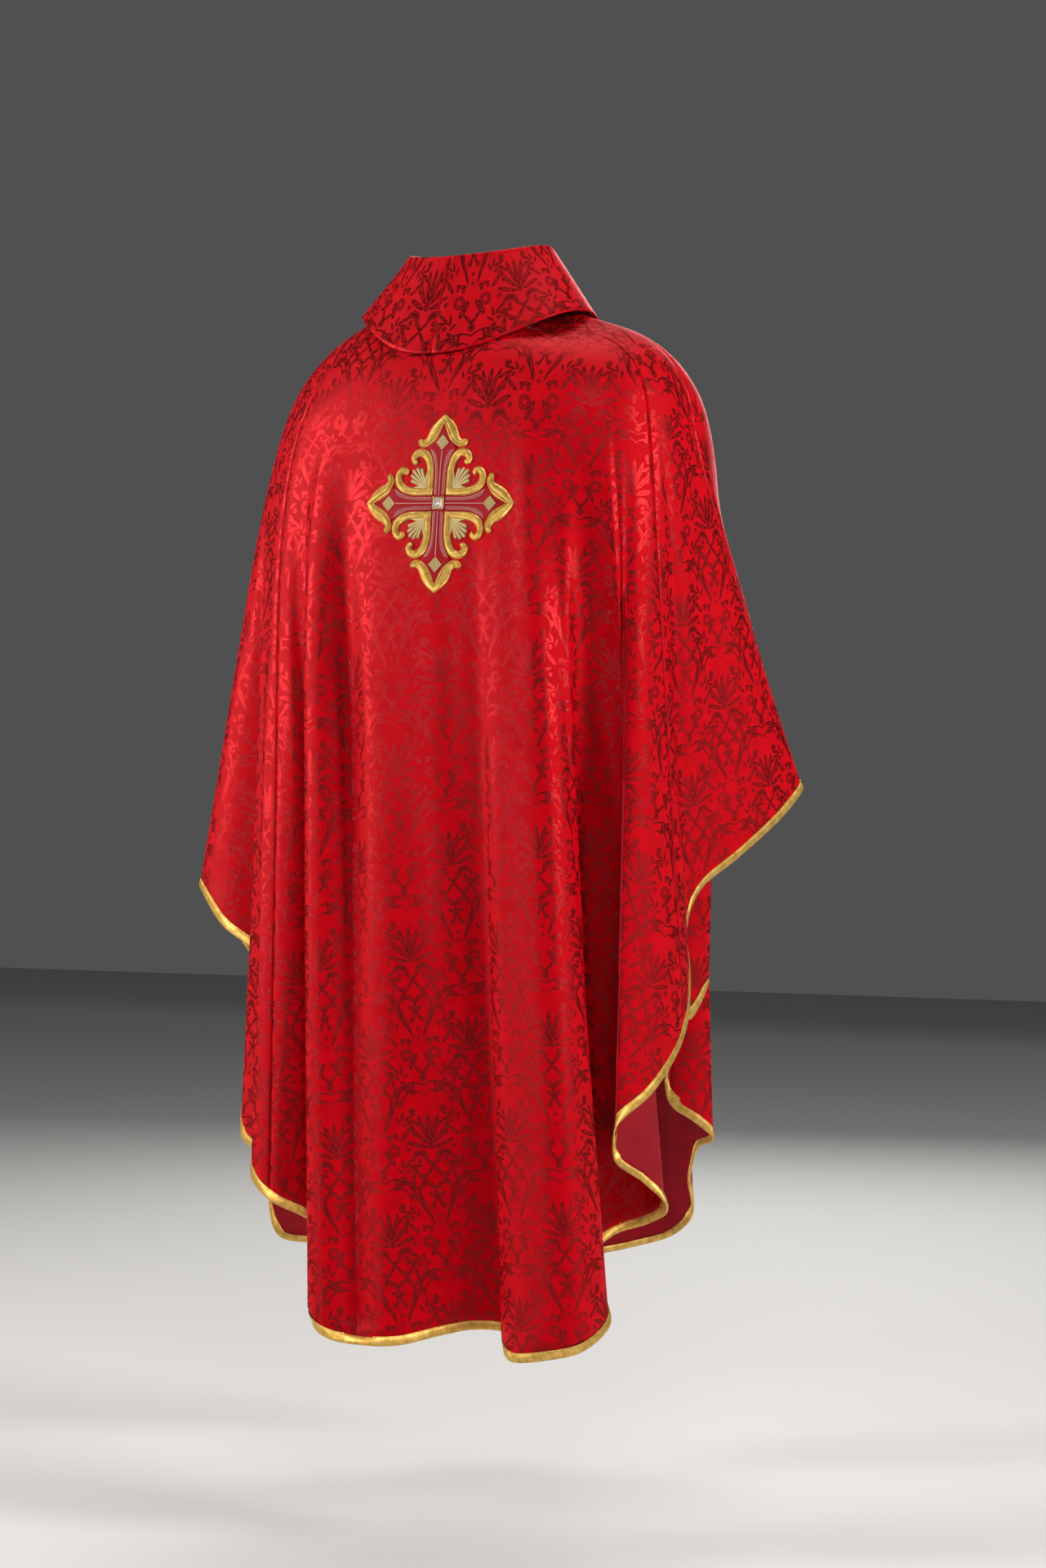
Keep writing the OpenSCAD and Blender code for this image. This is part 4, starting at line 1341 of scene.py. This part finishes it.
# %% Jewel
SETTING_SECTION = [(0, 1.3), (4.4, 1.3), (4.6, 3.6), (5.0, 4.0), (5.5, 3.7), (5.7, 2.2), (7.2, 1.9),
                   (7.3, 0.6), (7.1, -0.1), (0, -0.1)]
STONE_RINGS = [(0, 0, 1.35), (3.6, 2.6, 1.5), (6.2, 4.38, 3.3), (6.2, 4.38, 3.7), (3.6, 3.5, 5.0),
               (1.9, 2.2, 5.6), (0, 0, 5.7)]  # reach of the corners, reach of the sides, height
BEAD_LINE, BEAD_H, BEAD_R = 6.5, 2.5, 1.0


def bead(x, y, h, r):
    """A small ball."""
    a, b = around(12)[:, None], np.linspace(0, math.pi, 8)[None]
    return np.stack([x + r * np.sin(b) * np.cos(a), y + r * np.sin(b) * np.sin(a),
                     h + r * np.cos(b) + 0 * a], axis=-1)


def square_band(section):
    """A square ring from its section of (half side, height), with softened corners."""
    a = around(48)
    c, s = np.cos(a), np.sin(a)
    reach = (np.abs(c)**8 + np.abs(s)**8) ** (-1 / 8)
    half, high = np.array(section, float).T
    return np.stack([c[:, None] * reach[:, None] * half, s[:, None] * reach[:, None] * half,
                     np.broadcast_to(high, (len(a), len(high)))], axis=-1)


setting = Stitches()
setting.ball(square_band(SETTING_SECTION))
for q in range(4):
    for x in np.linspace(-BEAD_LINE, BEAD_LINE, 7)[:-1]:
        setting.ball(quarter(bead(x, BEAD_LINE, BEAD_H, BEAD_R), q))
setting.make("jewel_mount", SETTING, "setting", "jewel_setting")

corners = np.arange(8) * math.pi / 4 + math.pi / 4
facet_rings = []
for corner_reach, side_reach, height in STONE_RINGS:
    reach = np.where(np.arange(8) % 2 == 0, corner_reach, side_reach)
    ring_points = [reach * np.cos(corners), reach * np.sin(corners), np.full(8, height)]
    facet_rings.append(np.stack(ring_points, axis=-1))
stone = Stitches()
stone.ball(np.stack(facet_rings, axis=1))
stone.make("jewel_stone", CRYSTAL, "crystal", "jewel_crystal", flat=True)

# %% [markdown]
# ## The embroidered pieces
#
# The pieces of the embroidered cross are gathered into one list.

# %% The embroidery, gathered
EMBROIDERY = [o for o in bpy.data.objects if o.name.startswith(("scroll_", "tip_", "fan_", "net_lozenge_"))]
EMBROIDERY += [bpy.data.objects[n] for n in (
    "cross_ground_satin", "comb_stitches", "centre_cords", "jewel_mount", "jewel_stone")]

# %% [markdown]
# ## Floor, light and camera
#
# A plain pale floor and soft studio light. The garment hangs at the height it has on its wearer.

# %% Studio
def soft_light(name, at, aim, size, power, colour):
    """A square lamp at one point, turned to another."""
    data = bpy.data.lights.new(name, "AREA")
    data.shape, data.size, data.energy, data.color = "SQUARE", size, power, colour
    obj = bpy.data.objects.new(name, data)
    bpy.context.scene.collection.objects.link(obj)
    obj.location = at
    obj.rotation_euler = (Vector(aim) - Vector(at)).to_track_quat("-Z", "Y").to_euler()
    return obj


FLOOR_Z, FLOOR_HALF, FLOOR_T = -1.48, 9, 0.02
WARM, WHITE = (1.0, 0.98, 0.96), (1, 1, 1)
LIGHTS = [  # name, place, the point it looks at, side in metres, power in watts, colour
    ("right_side", (-3.3, 0.15, 0.7), (0, 0, -0.55), 1.0, 112, WARM),
    ("left_side", (2.8, 1.8, 0.6), (0, 0, -0.55), 1.0, 100, WARM),
    ("middle", (1.1, 3.3, -0.1), (0, 0, -0.7), 0.6, 24, WARM),
    ("shoulder", (-1.9, 3.0, 1.9), (0, 0, -0.45), 1.1, 34, WARM),
    ("top", (0.2, -0.6, 2.4), (0, 0, -0.3), 1.6, 30, WHITE),
    ("wearer_side", (0.9, -3.3, 0.8), (0, 0, -0.5), 1.6, 60, WHITE),
]
FLOOR_COLOUR, WORLD_COLOUR, WORLD_STRENGTH = (0.62, 0.61, 0.59, 1), (0.80, 0.80, 0.82, 1), 0.10
CAMERA_AT, CAMERA_WAY, CAMERA_LENS = (-1.764, 3.366, -0.587), (0.454, -0.891, 0), 71.6

x, y = square_grid(*[np.linspace(-FLOOR_HALF, FLOOR_HALF, 9)] * 2)
grid = np.stack([x, y, np.full_like(x, FLOOR_Z)], axis=-1)
floor = turned_out(shell("floor", grid, grid - np.array([0, 0, FLOOR_T])))
floor_material, _, floor_shader = new_material("pale_floor")
floor_shader.inputs["Base Color"].default_value = FLOOR_COLOUR
floor_shader.inputs["Roughness"].default_value = 0.75
floor.data.materials.append(floor_material)
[soft_light(*row) for row in LIGHTS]

world = bpy.context.scene.world or bpy.data.worlds.new("studio")
bpy.context.scene.world = world
world.use_nodes = True
world.node_tree.nodes["Background"].inputs[0].default_value = WORLD_COLOUR
world.node_tree.nodes["Background"].inputs[1].default_value = WORLD_STRENGTH
bpy.context.scene.view_settings.view_transform = "Standard"

camera_data = bpy.data.cameras.new("camera")
camera_data.lens, camera_data.sensor_width, camera_data.sensor_fit = CAMERA_LENS, 36, "AUTO"
camera = bpy.data.objects.new("camera", camera_data)
bpy.context.scene.collection.objects.link(camera)
camera.location = CAMERA_AT
camera.rotation_euler = Vector(CAMERA_WAY).to_track_quat("-Z", "Y").to_euler()
bpy.context.scene.camera = camera
